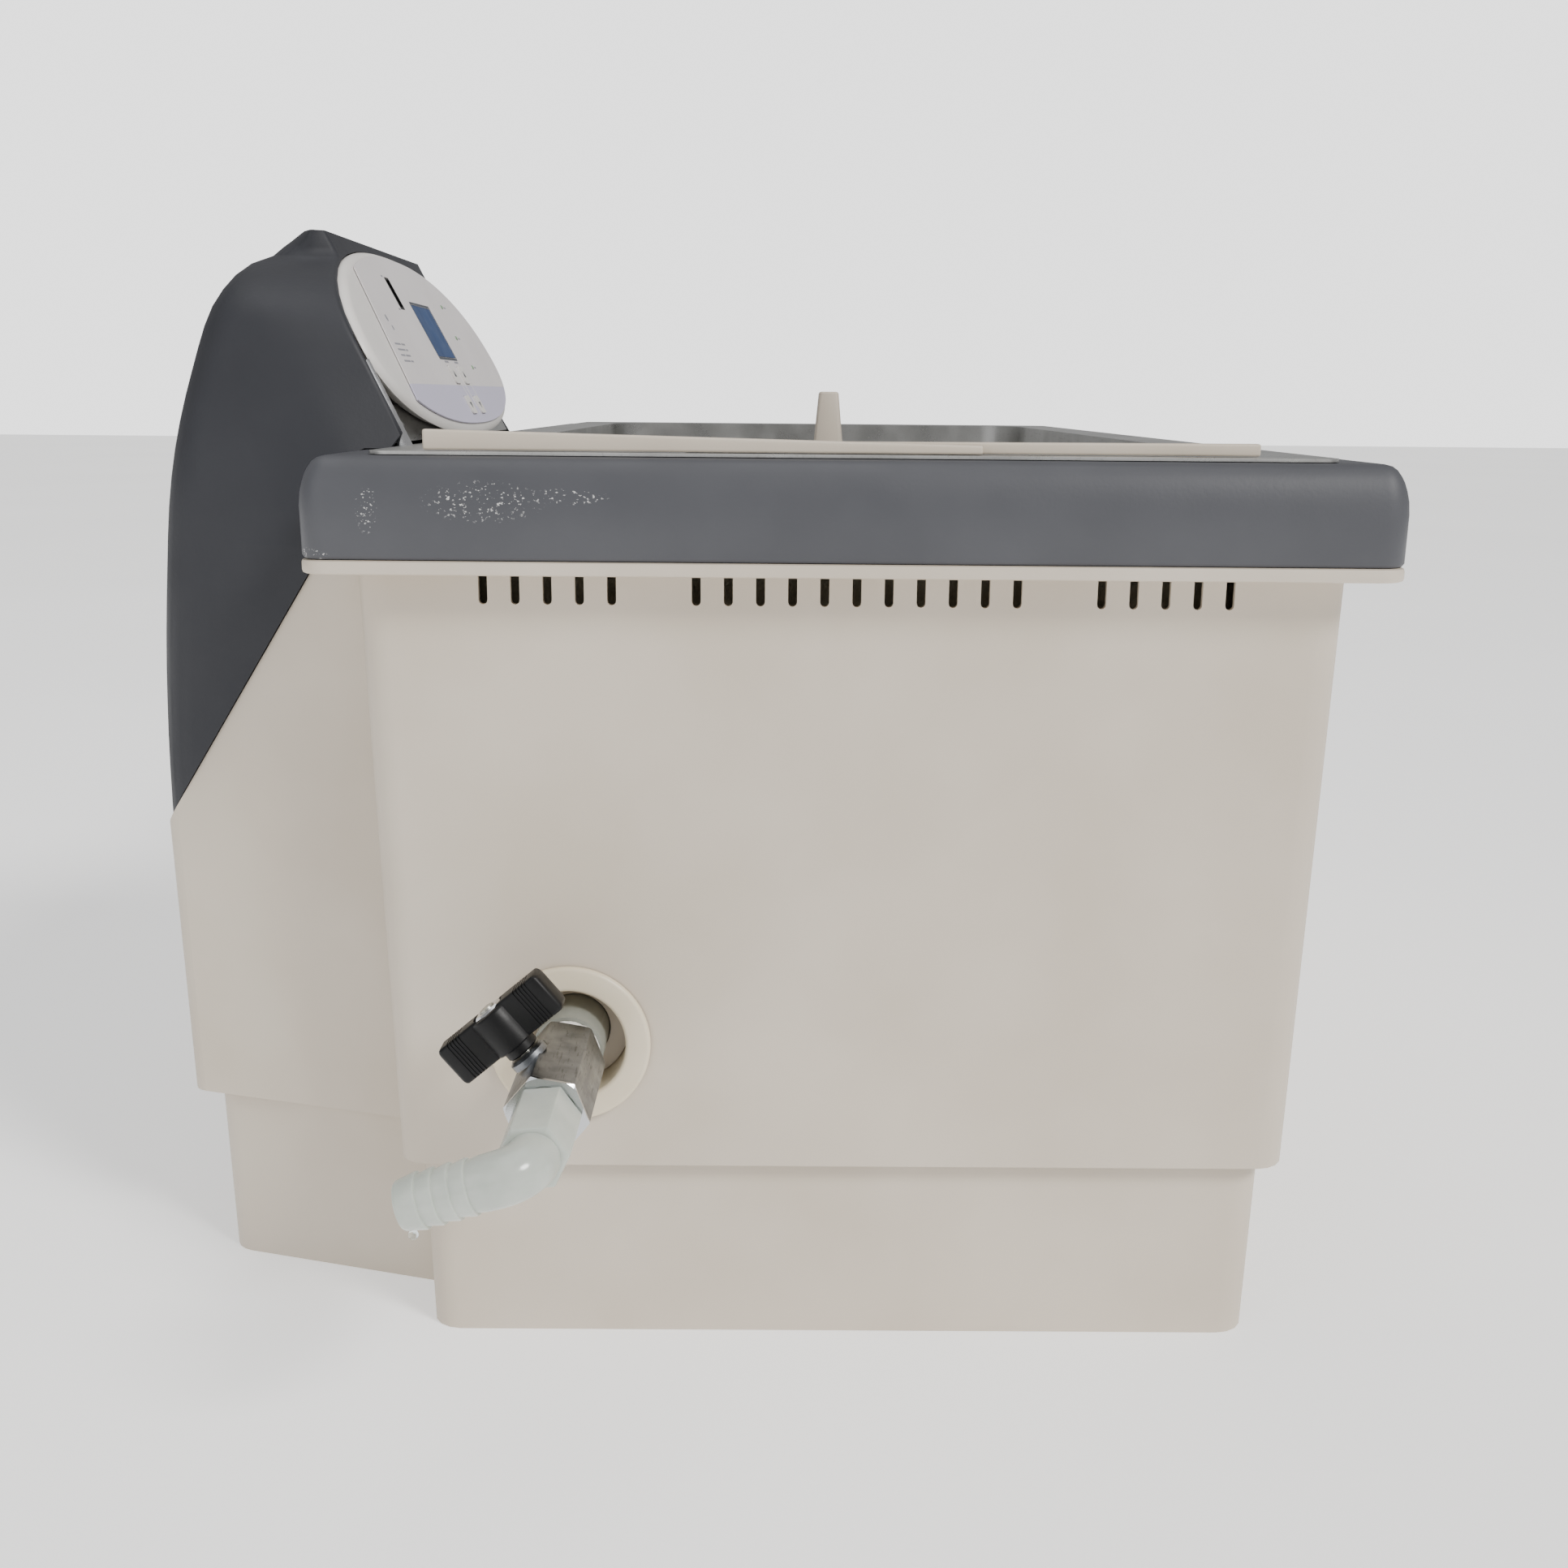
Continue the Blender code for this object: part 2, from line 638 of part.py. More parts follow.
def move_origin(obj, point=None):
    """Puts an object's origin at a world point, or at the middle of its mesh."""
    mesh = obj.data
    if point is None:
        local = sum((v.co for v in mesh.vertices), Vector()) / len(mesh.vertices)
    else:
        local = obj.matrix_world.inverted() @ Vector(point)
    mesh.transform(Matrix.Translation(-local))
    obj.matrix_world = obj.matrix_world @ Matrix.Translation(local)
    return obj


def build_switch():
    u, v, width, height = SWITCH
    outer = (u, v, width, height)
    surround = face_box("switch_frame", outer, -0.0080, GAP + OVERLAY_THICK, BLACK)
    cut(surround, face_box("switch_hole", outer, -0.020, 0.010, None, CUTTERS, grow=-0.0009))
    rocker = face_box("power_rocker", outer, -0.0060, 0.0000, DARK_GREY, grow=-0.0014)
    move_origin(rocker, face_matrix() @ Vector((u, v, -0.0035)))


def build_throat():
    plate = face_box("throat_plate", (-0.0060, -0.0243, 0.2900, 0.0405),
                     -THROAT_SETBACK - 0.0012, -THROAT_SETBACK, STAINLESS)
    cut(plate, cutter_box("throat_foot", (-0.350, 0.100, 0.300),
                          (0.100, 0.250, FLANGE_Z + TANK_SHEET + 2 * GAP)))
    face_box("control_board", (0.0, -0.0020, 0.2400, 0.0560), -0.0210, -0.0194, BOARD_GREEN)


# ---------------------------------------------------------------- tank and what is in it

def build_tank():
    """Deep-drawn tank: flange, leaning walls, curved foot and floor."""
    lean = 0.0050
    foot = 0.014
    levels = [(FLANGE_HALF, 0.008, FLANGE_Z + TANK_SHEET)]
    levels.append((TANK_HALF, TANK_CORNER, FLANGE_Z + TANK_SHEET))
    for turn in (0, 45, 90):
        angle = math.radians(turn)
        inset = lean + foot * (1 - math.cos(angle))
        z = TANK_FLOOR + TANK_SHEET + foot * (1 - math.sin(angle))
        levels.append(((TANK_HALF[0] - inset, TANK_HALF[1] - inset), TANK_CORNER - inset * 0.3, z))
    loops = [at_height(rectangle(*half, radius, 4), z) for half, radius, z in levels]
    bm = skin(loops, cap_last=True)
    tank = from_bmesh("tank", bm, STAINLESS)
    tank.data.flip_normals()
    tank.modifiers.new("sheet", "SOLIDIFY")
    sheet = tank.modifiers["sheet"]
    sheet.thickness = TANK_SHEET
    sheet.offset = 1
    cut(tank, cutter_rod("tank_drain", 0.0090, (-0.290, DRAIN_Y, 0.140), (-0.290, DRAIN_Y, 0.160)))
    for name, y in (("heater_left", 0.1000), ("heater_right", -0.1000)):
        cut(tank, cutter_rod(name, 0.0062, (0.2500, y, 0.140), (0.2500, y, 0.160), 16))
    cut(tank, cutter_rod("probe_port", 0.0036, (PROBE[0], 0.130, PROBE[2]),
                         (PROBE[0], 0.160, PROBE[2]), 16))


def build_insulation():
    outer = rectangle(TANK_HALF[0] + 0.0110, TANK_HALF[1] + 0.0110, TANK_CORNER + 0.008, 3)
    inner = rectangle(TANK_HALF[0] + 0.0020, TANK_HALF[1] + 0.0020, TANK_CORNER, 3)
    jacket = frame("insulation_jacket", outer, inner, 0.1560, 0.3000, FOAM)
    cut(jacket, cutter_rod("jacket_drain", 0.0160, (-0.360, DRAIN_Y, DRAIN_Z),
                           (-0.300, DRAIN_Y, DRAIN_Z)))


def build_heater():
    z, end_x, side_y = 0.1660, 0.2840, 0.1190
    route = [(0.2500, 0.1000, 0.1340), (0.2500, 0.1000, z - 0.006), (0.2540, 0.1000, z),
             (0.2740, 0.1000, z), (end_x, 0.1080, z), (0.2760, side_y, z), (-0.2660, side_y, z),
             (-end_x, 0.1080, z), (-end_x, -0.1080, z), (-0.2660, -side_y, z),
             (0.2760, -side_y, z), (end_x, -0.1080, z), (0.2740, -0.1000, z),
             (0.2540, -0.1000, z), (0.2500, -0.1000, z - 0.006), (0.2500, -0.1000, 0.1340)]
    tube("heater_element", 0.0035, route, STAINLESS)
    profile = [(0.0039, 0.1442), (0.0095, 0.1442), (0.0095, 0.1496), (0.0058, 0.1496),
               (0.0058, 0.1534), (0.0039, 0.1534)]
    for name, y in (("heater_gland_rear", 0.1000), ("heater_gland_front", -0.1000)):
        turned(name, profile, Matrix.Translation((0.2500, y, 0)), BRASS, 16)


def build_probe():
    """Bent temperature probe, in through the rear wall and down beside the tray."""
    x, y, z = PROBE
    route = [(x, 0.1530, z), (x, y + 0.0060, z), (x, y + 0.0020, z - 0.0015), (x, y, z - 0.0055),
             (x, y, 0.1850)]
    tube("temperature_probe", 0.0029, route, STAINLESS)


def build_rails():
    """Two loose cover rails that lie on the near end of the flange and lap each other."""
    base = FLANGE_Z + TANK_SHEET + GAP

    def rail(name, x0, x1, y0, y1, top0, top1):
        rows = [(y0, base), (y1, base), (y1, top1), (y0, top0)]
        loops = [[Vector((x, y, z)) for y, z in rows] for x in (x0, x1)]
        return bevel(from_bmesh(name, skin(loops, True, True), BEIGE), 0.0006, 2)

    rail("cover_rail_rear", -0.3580, -0.3530, -0.0450, 0.1515, 0.3489, 0.3530)
    rail("cover_rail_front", -0.3526, -0.3476, -0.1440, 0.0600, 0.3502, 0.3496)


# ---------------------------------------------------------------- drain and valve

def axis_matrix(x):
    """Frame on the drain axis: its Z points out of the bath, towards -X."""
    turn = Matrix(((0, 0, -1, 0), (0, 1, 0, 0), (1, 0, 0, 0), (0, 0, 0, 1)))
    return Matrix.Translation((x, DRAIN_Y, DRAIN_Z)) @ turn


def build_drain():
    wall_x = -housing_half(DRAIN_Z)[0]
    sleeve = RING_HOLE + 0.0028
    profile = [(RING_HOLE, -0.0180), (sleeve, -0.0180), (sleeve, 0.0012),
               (RING_RADIUS, 0.0012), (RING_RADIUS, 0.0024), (RING_RADIUS - 0.0016, 0.0034),
               (RING_HOLE + 0.0016, 0.0034), (RING_HOLE, 0.0022)]
    turned("drain_ring", profile, axis_matrix(wall_x), CREAM, 28)

    x = -0.290
    bulkhead = [(0.0056, 0.1350), (0.0130, 0.1350), (0.0130, 0.1496), (0.0086, 0.1496),
                (0.0086, 0.1530), (0.0056, 0.1530)]
    turned("tank_outlet", bulkhead, Matrix.Translation((x, DRAIN_Y, 0)), STAINLESS, 24)

    bm = bmesh.new()
    rod_into(bm, 0.0133, (x + 0.016, DRAIN_Y, DRAIN_Z), (PIPE_END, DRAIN_Y, DRAIN_Z), 24)
    pipe = from_bmesh("drain_pipe", bm, GREY_PVC)
    cut(pipe, cutter_rod("drain_bore", 0.0106, (x + 0.006, DRAIN_Y, DRAIN_Z),
                         (PIPE_END - 0.010, DRAIN_Y, DRAIN_Z)))
    cut(pipe, cutter_rod("outlet_socket", 0.0134, (x, DRAIN_Y, 0.1346), (x, DRAIN_Y, 0.1500)))
    cut(pipe, cutter_rod("outlet_bore", 0.0056, (x, DRAIN_Y, DRAIN_Z), (x, DRAIN_Y, 0.1400)))

    nipple = [(0.0070, -0.0140), (0.0102, -0.0140), (0.0102, 0.0236), (0.0070, 0.0236)]
    turned("valve_nipple", nipple, axis_matrix(-0.3500), BRASS, 24)
    tape = [(0.0105, 0.0146), (0.0124, 0.0146), (0.0120, 0.0196), (0.0105, 0.0196)]
    turned("thread_tape", tape, axis_matrix(-0.3500), PTFE, 24)


def stem_matrix(lift):
    """Frame on the stem axis at a distance from the drain axis, its Z along the stem."""
    middle = (VALVE_X[0] + VALVE_X[1]) / 2
    return (Matrix.Translation((middle, DRAIN_Y, DRAIN_Z)) @ Matrix.Rotation(-STEM_LEAN, 4, "X")
            @ Matrix.Translation((0, 0, lift)))


def build_valve():
    middle = (VALVE_X[0] + VALVE_X[1]) / 2
    corner_radius = VALVE_FLATS / math.sqrt(3)
    long_half = (VALVE_X[1] - VALVE_X[0]) / 2
    bm = bmesh.new()
    bmesh.ops.create_cone(bm, cap_ends=True, segments=6, radius1=corner_radius,
                          radius2=corner_radius, depth=2 * long_half)
    body = from_bmesh("valve_body", bm, CHROME)
    turn = Matrix.Rotation(-STEM_LEAN, 4, "X") @ Matrix.Rotation(math.radians(90), 4, "Y")
    body.matrix_world = Matrix.Translation((middle, DRAIN_Y, DRAIN_Z)) @ turn
    chamfer = corner_radius * 1.10
    slope = [(0.0, -long_half - 0.002), (VALVE_FLATS / 2 * 0.97, -long_half - 0.002),
             (chamfer, -long_half + 0.0020), (chamfer, long_half - 0.0020),
             (VALVE_FLATS / 2 * 0.97, long_half + 0.002), (0.0, long_half + 0.002)]
    cut(body, turned("valve_round", slope, axis_matrix(middle), None, 32, CUTTERS), "INTERSECT")
    cut(body, turned("valve_bore", [(0.0, -0.040), (0.0108, -0.040), (0.0108, -0.0118),
                                    (0.0086, -0.0112), (0.0086, 0.0112), (0.0108, 0.0118),
                                    (0.0108, 0.040), (0.0, 0.040)],
                     axis_matrix(middle), None, 24, CUTTERS))
    cut(body, turned("stem_hole", [(0.0, 0.004), (0.0033, 0.004), (0.0033, 0.030), (0.0, 0.030)],
                     stem_matrix(0), None, 16, CUTTERS))
    for name, side in (("valve_seat_in", -1), ("valve_seat_out", 1)):
        ring = [(0.0050, 0.0068), (0.0083, 0.0048), (0.0083, 0.0104), (0.0050, 0.0104)]
        turned(name, [(r, side * z) for r, z in ring], axis_matrix(middle), PTFE, 16)

    ball_bm = bmesh.new()
    bmesh.ops.create_uvsphere(ball_bm, u_segments=16, v_segments=10, radius=0.0080)
    ball = from_bmesh("valve_ball", ball_bm, CHROME)
    ball.matrix_world = stem_matrix(0)
    bore = turned("ball_bore", [(0.0, -0.012), (0.0042, -0.012), (0.0042, 0.012), (0.0, 0.012)],
                  stem_matrix(0) @ Matrix.Rotation(math.radians(90), 4, "X"), None, 16, CUTTERS)
    cut(ball, bore)
    cut(ball, cutter_on_stem("ball_slot", (0.0200, 0.0022, 0.0050), 0.0075))

    stem = [(0.0, 0.0053), (0.0028, 0.0053), (0.0028, 0.0378), (0.0, 0.0378)]
    stem_rod = turned("valve_stem", stem, stem_matrix(0), STEEL, 16)
    cut(stem_rod, cutter_on_stem("tang_left", (0.0100, 0.0060, 0.0040), 0.0070, 0.0039))
    cut(stem_rod, cutter_on_stem("tang_right", (0.0100, 0.0060, 0.0040), 0.0070, -0.0039))

    collar = VALVE_FLATS / 2 + GAP
    gland = [(0.0031, collar), (0.0074, collar), (0.0074, collar + 0.0024),
             (0.0062, collar + 0.0034), (0.0031, collar + 0.0034)]
    turned("packing_gland", gland, stem_matrix(0), CHROME, 24)
    build_handle()


def cutter_on_stem(name, size, lift, side=0.0):
    cutter = box(name, size, (0, side, 0), None, CUTTERS)
    cutter.matrix_world = stem_matrix(lift)
    return cutter


HANDLE_LIFT = 0.0210  # underside of the grip bar, from the drain axis
HANDLE_BAR = (0.0105, 0.0460, 0.0160)


def build_handle():
    """T handle across the valve, which is shut in this position."""
    thick, length, tall = HANDLE_BAR
    hub = turned("valve_handle", [(0.0, -0.0036), (0.0062, -0.0036), (0.0062, 0.0),
                                  (0.0086, 0.0), (0.0086, tall - 0.0006), (0.0, tall - 0.0006)],
                 stem_matrix(HANDLE_LIFT), BLACK, 24)
    bar = box("handle_bar", (thick, length, tall), (0, 0, tall / 2), None, CUTTERS)
    bevel(bar, 0.0015, 2)
    bar.matrix_world = stem_matrix(HANDLE_LIFT)
    cut(hub, bar, "UNION")
    cut(hub, turned("handle_bore", [(0.0, -0.010), (0.0031, -0.010), (0.0031, tall + 0.01),
                                    (0.0, tall + 0.01)], stem_matrix(HANDLE_LIFT), None, 16, CUTTERS))
    cut(hub, turned("nut_recess", [(0.0, tall - 0.0030), (0.0064, tall - 0.0030),
                                   (0.0064, tall + 0.01), (0.0, tall + 0.01)],
                    stem_matrix(HANDLE_LIFT), None, 20, CUTTERS))
    nut = [(0.0031, tall - 0.0027), (0.0060, tall - 0.0027), (0.0060, tall - 0.0010),
           (0.0048, tall + 0.0004), (0.0031, tall + 0.0004)]
    turned("handle_nut", nut, stem_matrix(HANDLE_LIFT), CHROME, 20)


def build_elbow():
    """Hose elbow: threaded hex, round bend and ribbed barb."""
    out = Vector((0.0, math.cos(BARB_DROP), -math.sin(BARB_DROP)))
    bend = Vector((ELBOW_X, DRAIN_Y, DRAIN_Z))
    spigot = [(0.0, -0.0100), (0.0104, -0.0100), (0.0104, GAP), (0.0, GAP)]
    elbow = turned("hose_elbow", spigot, axis_matrix(VALVE_X[0]), NYLON, 20)
    bm = bmesh.new()
    collar = VALVE_X[0] - GAP - ELBOW_X - 0.0090
    hex_place = (axis_matrix(VALVE_X[0] - GAP - collar / 2)
                 @ Matrix.Rotation(math.radians(35), 4, "Z"))
    bmesh.ops.create_cone(bm, cap_ends=True, segments=6, radius1=0.0124, radius2=0.0122,
                          depth=collar, matrix=hex_place)
    cut(elbow, from_bmesh("elbow_hex", bm, None, CUTTERS), "UNION")
    bm = bmesh.new()
    rod_into(bm, 0.0092, (VALVE_X[0] - 0.012, DRAIN_Y, DRAIN_Z), bend, 20)
    cut(elbow, from_bmesh("elbow_neck", bm, None, CUTTERS), "UNION")
    bm = bmesh.new()
    bmesh.ops.create_uvsphere(bm, u_segments=20, v_segments=10, radius=0.0093)
    knee = from_bmesh("elbow_knee", bm, None, CUTTERS)
    knee.matrix_world = Matrix.Translation(bend)
    cut(elbow, knee, "UNION")
    radius, tip = 0.0085, 0.0425
    ribs = [(0.0, 0.0), (0.0089, 0.0), (0.0089, 0.0160)]
    for step in range(4):
        start = 0.0185 + step * 0.0055
        ribs += [(0.0094, start), (radius, start + 0.0050)]
    ribs += [(0.0082, tip), (0.0, tip)]
    barb_place = Matrix.Translation(bend) @ along(out)
    cut(elbow, turned("elbow_barb", ribs, barb_place, None, 20, CUTTERS), "UNION")
    cut(elbow, cutter_rod("elbow_bore", 0.0066, (VALVE_X[0] + 0.012, DRAIN_Y, DRAIN_Z), bend, 16))
    cut(elbow, cutter_rod("barb_bore", 0.0066, bend, bend + out * 0.050, 16))


# ---------------------------------------------------------------- orbital drive

def disc(name, radius, x, y, z0, z1, surface, hole=0.0, segments=24):
    profile = [(hole, z0), (radius, z0), (radius, z1), (hole, z1)]
    return turned(name, profile, Matrix.Translation((x, y, 0)), surface, segments)


def build_drive():
    floor = WALL + GAP
    box("drive_beam", (0.2600, 0.0500, 0.0060), (0.0, 0.0, 0.0650), STEEL)
    beam = bpy.data.objects["drive_beam"]
    posts = bmesh.new()
    for x in (-0.1150, 0.1150):
        for y in (-0.0180, 0.0180):
            rod_into(posts, 0.0060, (x, y, floor), (x, y, 0.0640), 12)
    cut(beam, from_bmesh("beam_posts", posts, None, CUTTERS), "UNION")
    cut(beam, cutter_rod("bearing_seat", 0.0163, (0, 0, 0.05), (0, 0, 0.08)))
    disc("main_bearing", 0.0160, 0.0, 0.0, 0.0500, 0.0740, STEEL, 0.0064)
    disc("idler_bearing", 0.0110, IDLER_X, 0.0, 0.0683, 0.0780, STEEL, 0.0053, 16)

    crank = [(0.0, 0.0400), (0.0060, 0.0400), (0.0060, BELT_Z[0] - 0.0100), (0.0100, 0.0780),
             (0.0100, 0.0840), (0.0060, 0.0845), (0.0060, 0.0990), (0.0180, 0.0990),
             (0.0180, 0.1050), (0.0, 0.1050)]
    shaft = turned("crank_shaft", crank, Matrix.Identity(4), STEEL, 24)
    pin = rod("crank_pin_blank", 0.0040, (ORBIT, 0, 0.1000), (ORBIT, 0, 0.1160), None, CUTTERS, 16)
    cut(shaft, pin, "UNION")
    disc("crank_pulley", CRANK_PULLEY_RADIUS, 0.0, 0.0, *BELT_Z, BLACK, 0.0063, 32)

    x = IDLER_X
    idler = disc("idler_crank", 0.0160, x, 0.0, 0.0990, 0.1050, STEEL)
    move_origin(idler, (x, 0, 0.1020))
    cut(idler, cutter_rod("idler_journal", 0.0050, (x, 0, 0.0700), (x, 0, 0.1000), 16), "UNION")
    cut(idler, cutter_rod("idler_pin", 0.0040, (x + ORBIT, 0, 0.1040), (x + ORBIT, 0, 0.1160), 16),
        "UNION")
    build_motor(floor)
    build_carriage()


def build_motor(floor):
    can = [(0.0, floor), (0.0300, floor), (0.0300, 0.0700), (0.0120, 0.0700),
           (0.0120, 0.0740), (0.0, 0.0740)]
    turned("drive_motor", can, Matrix.Translation((MOTOR_X, 0, 0)), MOTOR_BLACK, 28)
    spindle = [(0.0, 0.0746), (0.0040, 0.0746), (0.0040, 0.0820), (0.0150, 0.0825),
               (0.0150, 0.0850), (MOTOR_PULLEY_RADIUS, 0.0855), (MOTOR_PULLEY_RADIUS, 0.0970),
               (0.0150, 0.0975), (0.0150, 0.0990), (0.0, 0.0990)]
    turned("motor_pulley", spindle, Matrix.Translation((MOTOR_X, 0, 0)), STEEL, 24)

    def belt_outline(extra):
        big, small = CRANK_PULLEY_RADIUS + extra, MOTOR_PULLEY_RADIUS + extra
        lean = math.asin((big - small) / MOTOR_X)
        points = []
        for centre, radius, start, end in ((MOTOR_X, small, -math.pi / 2 + lean, math.pi / 2 - lean),
                                           (0.0, big, math.pi / 2 - lean, 1.5 * math.pi + lean)):
            for step in range(13):
                turn = start + (end - start) * step / 12
                points.append((centre + radius * math.cos(turn), radius * math.sin(turn)))
        return points

    frame("drive_belt", belt_outline(0.0022), belt_outline(0.0005), 0.0870, 0.0950, RUBBER)


def build_carriage():
    plate = box("magnet_carriage", (0.2400, 0.1100, CARRIAGE_Z[1] - CARRIAGE_Z[0]),
                (ORBIT, 0, sum(CARRIAGE_Z) / 2), STEEL)
    for name, x in (("crank", 0.0), ("idler", IDLER_X)):
        cut(plate, cutter_rod("pin_hole_" + name, 0.0043, (x + ORBIT, 0, 0.105),
                              (x + ORBIT, 0, 0.120), 16))
    magnets = box("drive_magnets", (0.1400, 0.0900, 0.0060), (ORBIT, 0, CARRIAGE_Z[1] + 0.0050), STEEL)
    poles = bmesh.new()
    for x in (-0.0450, 0.0450):
        for y in (-0.0270, 0.0270):
            rod_into(poles, 0.0140, (x + ORBIT, y, CARRIAGE_Z[1] + 0.006),
                     (x + ORBIT, y, 0.1300), 12)
    cut(magnets, from_bmesh("magnet_poles", poles, None, CUTTERS), "UNION")

    sled = box("tray_sled", (0.1600, 0.1100, SLED_Z[1] - SLED_Z[0]),
               (ORBIT, 0, sum(SLED_Z) / 2), BLACK)
    legs = bmesh.new()
    for x in (-0.0650, 0.0650):
        for y in (-0.0450, 0.0450):
            rod_into(legs, 0.0040, (x + ORBIT, y, SLED_Z[1] - 0.002), (x + ORBIT, y, TRAY_Z - GAP), 12)
    cut(sled, from_bmesh("sled_legs", legs, None, CUTTERS), "UNION")
    build_tray()


def build_tray():
    """Open tray with a low upturned edge, round holes and an upright lifting handle."""
    half_x, half_y = TRAY_HALF
    sheet = 0.0012
    outline = rectangle(half_x, half_y, 0.012, 3)
    loops = [at_height(outline, TRAY_Z), at_height(outline, TRAY_Z + 0.0160)]
    tray = from_bmesh("shaking_tray", skin(loops, cap_first=True), STAINLESS)
    thicken(tray, sheet)
    bm = bmesh.new()
    for column in range(-3, 4):
        for row in (-1, 1):
            x, y = column * 0.0720, row * 0.0680
            rod_into(bm, 0.0120, (x, y, TRAY_Z - 0.01), (x, y, TRAY_Z + 0.01), 10)
    cut(tray, from_bmesh("tray_holes", bm, None, CUTTERS))
    move_tray = Matrix.Translation((ORBIT, 0, 0))
    tray.matrix_world = move_tray
    tray.modifiers["tray_holes"].object.matrix_world = move_tray

    low, high = TRAY_Z + sheet + GAP, 0.3680
    sections = [(0.0300, 0.0130, low), (0.0300, 0.0130, low + 0.0040),
                (0.0120, 0.0105, low + 0.0100), (0.0105, 0.0078, 0.3400), (0.0095, 0.0052, high)]
    loops = [at_height(rectangle(a, b, min(a, b) * 0.35, 2), z) for a, b, z in sections]
    post = from_bmesh("tray_handle", skin(loops, True, True), BEIGE)
    bevel(post, 0.0012, 2, 50)


# ---------------------------------------------------------------- electrics and fasteners

def build_electrics():
    floor = WALL + GAP
    z = 0.1185
    rear = tower_rear(z)
    inlet = box("power_inlet", (0.0272, 0.0240, 0.0204), (-0.1900, rear - 0.0078, z), BLACK)
    cut(inlet, cutter_box("inlet_socket", (-0.2020, rear - 0.0098, z - 0.0077),
                          (-0.1780, rear + 0.0160, z + 0.0077)))
    pins = bmesh.new()
    for x, rise in ((-0.1970, -0.0015), (-0.1830, -0.0015), (-0.1900, 0.0035)):
        bmesh.ops.create_cube(pins, size=1.0, matrix=Matrix.Translation((x, rear - 0.0068, z + rise))
                              @ Matrix.Diagonal((0.0020, 0.0100, 0.0040, 1.0)))
    cut(inlet, from_bmesh("inlet_pins", pins, None, CUTTERS), "UNION")
    turned("fuse_holder", [(0.0, -0.0280), (0.0071, -0.0280), (0.0071, 0.0020),
                            (0.0090, 0.0024), (0.0090, 0.0060), (0.0, 0.0060)],
           Matrix.Translation((-0.1500, rear, z)) @ along((0, 1, 0)), BLACK, 20)
    box("transformer", (0.0600, 0.0480, 0.0520), (TOWER_X + 0.0400, 0.2270, floor + 0.0260), STEEL)


build_base_pan()
build_feet()
build_housing()
build_trim()
build_rim()
build_tower()
build_hood()
build_pod()
build_throat()
build_tank()
build_insulation()
build_heater()
build_probe()
build_rails()
build_drain()
build_valve()
build_elbow()
build_drive()
build_electrics()
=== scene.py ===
"""Finish, light and camera for a bench water bath with a rear console and a drain valve.

Metres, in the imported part's own frame: +Z up, X along the bath with the drain on the -X end,
and the console behind the bath on the +Y side.
"""
import json
import math

import bmesh
import bpy
from mathutils import Matrix, Vector


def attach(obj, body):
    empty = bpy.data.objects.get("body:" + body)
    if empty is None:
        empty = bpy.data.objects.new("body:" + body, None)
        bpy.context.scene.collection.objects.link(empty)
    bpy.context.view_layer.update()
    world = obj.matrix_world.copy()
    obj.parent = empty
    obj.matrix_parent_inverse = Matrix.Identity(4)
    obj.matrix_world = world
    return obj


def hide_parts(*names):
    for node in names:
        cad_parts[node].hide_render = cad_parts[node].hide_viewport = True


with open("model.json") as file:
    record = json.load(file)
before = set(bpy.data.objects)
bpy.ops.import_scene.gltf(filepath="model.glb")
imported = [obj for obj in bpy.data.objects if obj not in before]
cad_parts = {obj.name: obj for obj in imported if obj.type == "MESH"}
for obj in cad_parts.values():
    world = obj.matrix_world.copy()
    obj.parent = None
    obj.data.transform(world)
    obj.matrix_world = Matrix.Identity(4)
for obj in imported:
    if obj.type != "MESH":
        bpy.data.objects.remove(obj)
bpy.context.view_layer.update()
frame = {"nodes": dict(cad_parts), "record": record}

# Sizes shared with the part
RIM_HALF, RIM_CORNER, RIM_Z = (0.375, 0.1935), 0.0105, (0.3088, 0.3440)
DRAIN_Y, DRAIN_Z = 0.1040, 0.1255
DRAIN_WALL_X = -0.3549  # outer face of the wall at the drain
RING_RADIUS, RING_HOLE = 0.0305, 0.0210
VALVE_X, VALVE_FLATS = (-0.4250, -0.3700), 0.0260
STEM_LEAN = math.radians(40)
HANDLE_LIFT, HANDLE_BAR = 0.0210, (0.0105, 0.0460, 0.0160)
ELBOW_X, BARB_DROP = -0.4680, math.radians(16.5)
FACE_ANGLE, FACE_ORIGIN = math.radians(62), Vector((-0.136, 0.1873, 0.3865))
POD_HALF, POD_CENTRE, POD_EGG, POD_POWER = (0.147, 0.0450), (-0.0015, 0.0018), 0.10, 2.3
LCD = (0.0055, 0.0072, 0.0420, 0.0256)
SWITCH = (-0.0405, 0.0241, 0.0085, 0.0150)
KEY_SIZE = (0.0110, 0.0090)
KEYS = {"temp_up": (-0.0035, -0.0150), "temp_down": (-0.0035, -0.0305),
        "speed_up": (0.0210, -0.0150), "speed_down": (0.0210, -0.0305)}
KEY_CORNER = 0.0014
KEY_PROUD = 0.0007  # the keys stand this far out of the film
FILM_TOP = 0.0009  # top of the printed film, out of the console face
LILAC_TOP = -0.0203  # the film's lilac band lies below this line on the face
GAP = 0.0003  # clearance between pieces that touch
INK = 0.00005  # half thickness of a print
MERGE = 1e-6  # points nearer than this become one
MM = 0.001


# ---------------------------------------------------------------- materials

def linear(hex_colour):
    """An sRGB hex colour as linear RGBA."""
    parts = [int(hex_colour[i:i + 2], 16) / 255 for i in (1, 3, 5)]
    return (*[p / 12.92 if p <= 0.04045 else ((p + 0.055) / 1.055) ** 2.4 for p in parts], 1.0)


